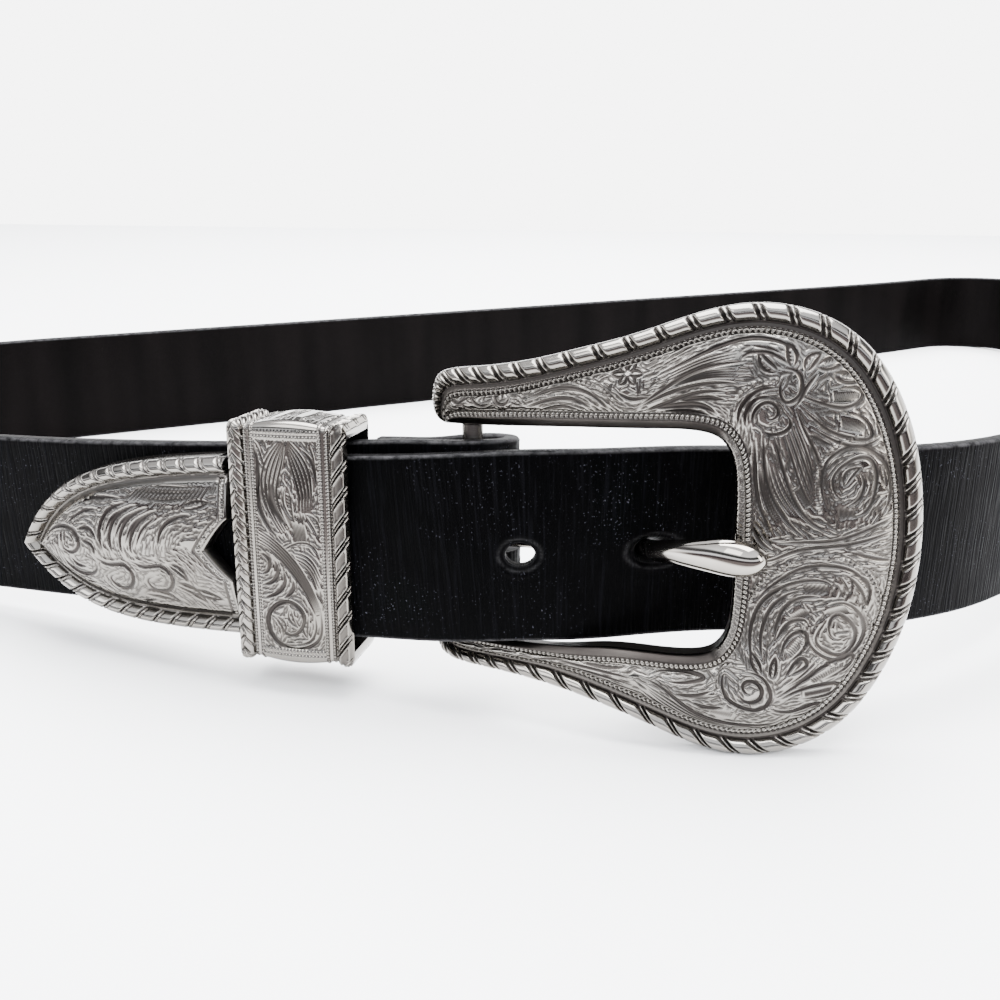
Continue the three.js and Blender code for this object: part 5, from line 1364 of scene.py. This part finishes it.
def tip_piece():
    outline_d = np.linspace(0, 60, 900)
    outline = np.column_stack([outline_d, arch_half(outline_d)])
    outline_run = lengths(outline)
    steps = 250
    tau = 0.004 + (1 - 0.004) * np.linspace(0, 1, steps) ** 1.15
    spans = np.linspace(-1, -0.7, 30)[:-1], np.linspace(-0.7, 0.7, 92)[:-1], np.linspace(0.7, 1, 30)
    t = np.concatenate(spans)
    notch = NOTCH_DEEP * np.clip(1 - np.abs(t) * TIP_HALF / NOTCH_HALF, 0, 1) ** 0.8
    reach = TIP_LENGTH + TIP_SLANT * (1 + 0.5 * t) - notch
    distance = tau[:, None] * reach[None]
    half = arch_half(distance)
    height = t[None] * half
    flat = np.stack([distance, np.abs(height)], axis=-1).reshape(-1, 2)
    near, run = np.empty(len(flat)), np.empty(len(flat))
    for k in range(0, len(flat), 4000):
        gap = np.linalg.norm(flat[k:k + 4000, None] - outline[None], axis=2)
        i = gap.argmin(1)
        near[k:k + 4000] = gap[np.arange(len(i)), i]
        run[k:k + 4000] = outline_run[i]
    near, run = near.reshape(distance.shape), run.reshape(distance.shape)
    near = np.maximum(near - 0.02, 0)
    face = THICK / 2 + TIP_GAP
    rope = face + 0.35 + 1.95 * np.sin(np.pi * np.clip(near / TIP_RIM, 0, 1)) ** 0.6
    size = np.clip(half / 6, 0, 1)
    into = np.clip((near - TIP_RIM) / np.maximum(half - TIP_RIM, 0.5), 0, 1)
    field_level = face + 0.75 + 2.3 * size * (1 - (1 - into) ** 2)
    valley = ramp(near, TIP_RIM, 4.7)
    rim = np.maximum(rope, face + 0.6 * ramp(near, 0.0, 0.4))
    level = np.where(near < TIP_RIM, rim, face + 0.55 + (field_level - face - 0.55) * valley)
    pitch = 3.9
    phase = repeated((run - ROPE_SLANT * near) / pitch, pitch)
    cut = np.maximum(v_cut(phase, 0.34, 0.6), v_cut(phase - 0.8, 0.26, 0.38))
    cut = cut * (near < TIP_RIM) * ramp(TIP_RIM - near, 0, 0.3)
    slope = math.cos(math.atan(NOTCH_DEEP / NOTCH_HALF))
    to_end = (reach[None] - distance) * np.where(np.abs(height) < NOTCH_HALF, slope, 1.0)
    end_band = ramp(-to_end, -2.1, -1.9) * (near > 3.6)
    lip = 0.28 * np.exp(-((to_end - 0.35) / 0.3) ** 2) * (near > 3.2)
    along_end = height * np.where(np.abs(height) < NOTCH_HALF, 1 / slope, 1.0)
    beads = bead_row(along_end, to_end - 1.1, 0.82, 0.4, 0.34) * (near > 3.8)
    inside = (near > 4.6) & (to_end > 2.1)
    engraved, raised = tip_relief().marks(np.stack([distance, height], -1), inside)
    level = level - cut - engraved + raised + beads + lip - 0.15 * end_band
    # Dirt in the cuts plus painted shade, also in the valley inside the rope and round the end beads.
    dirt_and_shade = np.clip(cut / 0.5 + engraved / 0.2, 0, 1)
    dirt_and_shade = np.where((near > 2.9) & (near < 4.2), 0.55, dirt_and_shade)
    dirt_and_shade = np.where(end_band > 0.5, np.clip(0.7 - beads * 4 - lip * 3, 0, 1), dirt_and_shade)
    side_levels = np.array([face - 0.2, 0.8, -0.4, -1.6, -TIP_BACK + 0.3])
    flat_reach = TIP_LENGTH * tau[:, None]
    flat_half = arch_half(flat_reach)
    right = np.stack(np.broadcast_arrays(flat_reach, flat_half, side_levels[None]), -1)
    back_t = np.linspace(0.97, -0.97, 24)
    back = np.stack(np.broadcast_arrays(flat_reach, back_t[None] * flat_half, -TIP_BACK), -1)
    left = right[:, ::-1] * [1, -1, 1]
    front = np.stack([distance, height, level], -1)
    outer = np.concatenate([front, right, back, left], axis=1)
    # The cap's sides and back get a little painted shade.
    marks = np.hstack([dirt_and_shade, np.full((steps, 34), 0.2)])
    wall_half = np.maximum(arch_half(outer[..., 0]) - TIP_WALL, 0.2)
    inner = outer.copy()
    inner[..., 1] = np.clip(outer[..., 1], -wall_half, wall_half)
    inner[..., 2] = np.clip(outer[..., 2], -THICK / 2 - TIP_GAP, THICK / 2 + TIP_GAP)
    picks = [steps - 1, 215, 170, 120, 80, 50]
    inner_rows = inner[picks]
    grid = np.concatenate([outer, inner_rows], axis=0)
    # The inside of the cap is painted dark as painted shade.
    grid_marks = np.vstack([marks, np.full((len(picks), outer.shape[1]), 0.7)])
    rows, columns = grid.shape[:2]
    d, h, o = (grid[..., k].ravel() for k in range(3))
    points = ROUTE.on(ROUTE.length - d, o, WIDTH / 2 + h)
    closed, fans = capped(points, rows, columns)
    make_piece("tip_engraved", closed, grid_quads(rows, columns), fans, ENGRAVED, ["tip"],
               {"dirt_and_shade": np.append(grid_marks.ravel(), [0.3, 0.6])}, sharp=60)


# The screws that hold the folded end

SCREW_X = -16.5
SCREW_HEIGHTS = {"chape_screw_lower": 10, "chape_screw_upper": 23}


def screw_pieces():
    index = ROUTE.fold + np.argmax(ROUTE.place[ROUTE.fold:, 0] < SCREW_X)
    place, forward, up, out = (v[index] for v in (ROUTE.place, ROUTE.forward, ROUTE.up, ROUTE.out))
    face = THICK / 2
    profile = [(-7.2, 0.3), (-7.15, 1.2), (-7.0, 2.1), (-6.75, 2.75), (-6.45, 3.0), (-6.3, 3.0),
               (-6.3, 1.7), (face - 0.9, 1.7), (face - 0.9, 3.0), (face - 0.3, 3.0),
               (face - 0.1, 2.75), (face, 2.3), (face, 0.3)]
    for name, height in SCREW_HEIGHTS.items():
        centre = place + up * (height - WIDTH / 2)
        points, quads, fans = turned_form(
            profile, lambda h, a, b: centre + out * h[:, None] + forward * a[:, None] + up * b[:, None])
        # The screw heads are painted a little darker all over as painted shade.
        make_piece(name + "_turned", points, quads, fans, PLAIN, [name],
                   {"dirt_and_shade": np.full(len(points), 0.3)}, sharp=40)


# Floor, light and camera

FLOOR_CORNERS = [(-4, -4, 0), (4, -4, 0), (4, 0.75, 0), (-4, 0.75, 0)]
SHEET = (0.90, 0.90, 0.895, 1), (0.93, 0.93, 0.925, 1)
# The floor darkens towards the camera between these two y values in metres, and the metal shows the dark part
# in its reflections.
DARK_FLOOR_FRONT = (0.075, 0.06, 0.062, 1)
DARK_FLOOR_EDGE = -0.285, -0.23
# Height of the direction looked in, with its light.
NEAR_SKY = [(0.0, (0.26, 0.2, 0.21)), (0.09, (0.11, 0.09, 0.11)), (0.14, (0.42, 0.38, 0.45)),
            (0.19, (3.4, 3.6, 3.95)), (0.28, (3.9, 4.1, 4.5)), (0.34, (0.16, 0.16, 0.18)),
            (0.5, (0.2, 0.21, 0.23)), (0.58, (4.0, 4.2, 4.55)), (1.0, (2.6, 2.7, 2.9))]
FAR_SKY = [(0.0, (6.5, 6.5, 6.5)), (0.2, (6.5, 6.5, 6.5)), (0.3, (0.25, 0.25, 0.27)),
           (0.5, (0.3, 0.3, 0.32)), (0.6, (2.4, 2.45, 2.6)), (1.0, (2.4, 2.45, 2.6))]
SKY_CHANGE = -0.15, 0.25
# Name, place, what it points at, size, watts and colour.
LIGHTS = [
    ("key", (-0.5, -0.7, 0.9), (0, -0.1, 0.03), (0.7, 0.5), 9, (1, 1, 1)),
    ("top", (0.1, 0.2, 0.95), (0, 0.05, 0), (1.1, 1.0), 85, (0.97, 0.98, 1.0)),
    ("side", (0.9, -0.4, 0.35), (0, -0.1, 0.03), (0.3, 0.5), 6, (1.0, 0.97, 0.93)),
]
CAMERA = {"place": (0, -160, 79.5), "pitch": 17.6, "roll": 0.6, "sensor": 36, "lens": 36.18, "near": 0.01}


def add_object(name, data, turn=None, place=(0, 0, 0)):
    made = bpy.data.objects.new(name, data)
    bpy.context.scene.collection.objects.link(made)
    if turn is not None:
        made.matrix_world = Matrix(np.vstack([np.column_stack([turn, place]), [0, 0, 0, 1]]).tolist())
    return made


def floor_piece():
    mesh = bpy.data.meshes.new("floor")
    mesh.from_pydata(FLOOR_CORNERS, [], [(0, 1, 2, 3)])
    floor = add_object("floor", mesh)
    s = Shader("pale_floor")
    here = s.node("TexCoord").outputs["Object"]
    sheet = s.mixed(s.noise(here, 3.0, 2.0), *SHEET)
    forward = s.node("SeparateXYZ", {0: here}).outputs[1]
    s.set(base_color=s.mixed(s.between(forward, *DARK_FLOOR_EDGE), DARK_FLOOR_FRONT, sheet), roughness=0.75)
    mesh.materials.append(s.material)


def sky(tree, height, stops):
    shade = tree.node("ValToRGB", {0: height})
    elements = shade.color_ramp.elements
    elements[0].position, elements[1].position = stops[0][0], stops[-1][0]
    elements[0].color, elements[1].color = (*stops[0][1], 1), (*stops[-1][1], 1)
    for position, colour in stops[1:-1]:
        elements.new(position).color = (*colour, 1)
    return shade.outputs[0]


def world():
    made = bpy.data.worlds.new("studio")
    bpy.context.scene.world = made
    tree = Tree(made)
    _, forward, height = tree.node("SeparateXYZ", {0: tree.node("TexCoord").outputs["Generated"]}).outputs
    near, far = sky(tree, height, NEAR_SKY), sky(tree, height, FAR_SKY)
    both = tree.mixed(tree.between(forward, *SKY_CHANGE), near, far)
    background = tree.nodes["Background"]
    tree.links.new(both, background.inputs[0])
    background.inputs[1].default_value = 1.0


def light(name, place, target, size, power, colour):
    data = bpy.data.lights.new(name, "AREA")
    data.shape = "RECTANGLE"
    data.size, data.size_y = size
    data.energy = power
    data.color = colour
    away = unit(np.array(place, float) - np.array(target, float))
    side = unit(np.cross([0, 0, 1], away))
    add_object(name, data, np.column_stack([side, np.cross(away, side), away]), place)


def camera():
    pitch, roll = math.radians(CAMERA["pitch"]), math.radians(CAMERA["roll"])
    cp, sp, cr, sr = math.cos(pitch), math.sin(pitch), math.cos(roll), math.sin(roll)
    right, up, back = (cr, -sr * sp, -sr * cp), (sr, cr * sp, cr * cp), (0, -cp, sp)
    data = bpy.data.cameras.new("camera")
    data.sensor_width, data.lens, data.clip_start = CAMERA["sensor"], CAMERA["lens"], CAMERA["near"]
    turn = TIPPED @ np.column_stack([right, up, back])
    bpy.context.scene.camera = add_object("camera", data, turn, to_row([CAMERA["place"]])[0])


strap_piece()
buckle_pieces()
bar_piece()
prong_piece()
keeper_piece()
tip_piece()
screw_pieces()
floor_piece()
world()
for values in LIGHTS:
    light(*values)
camera()
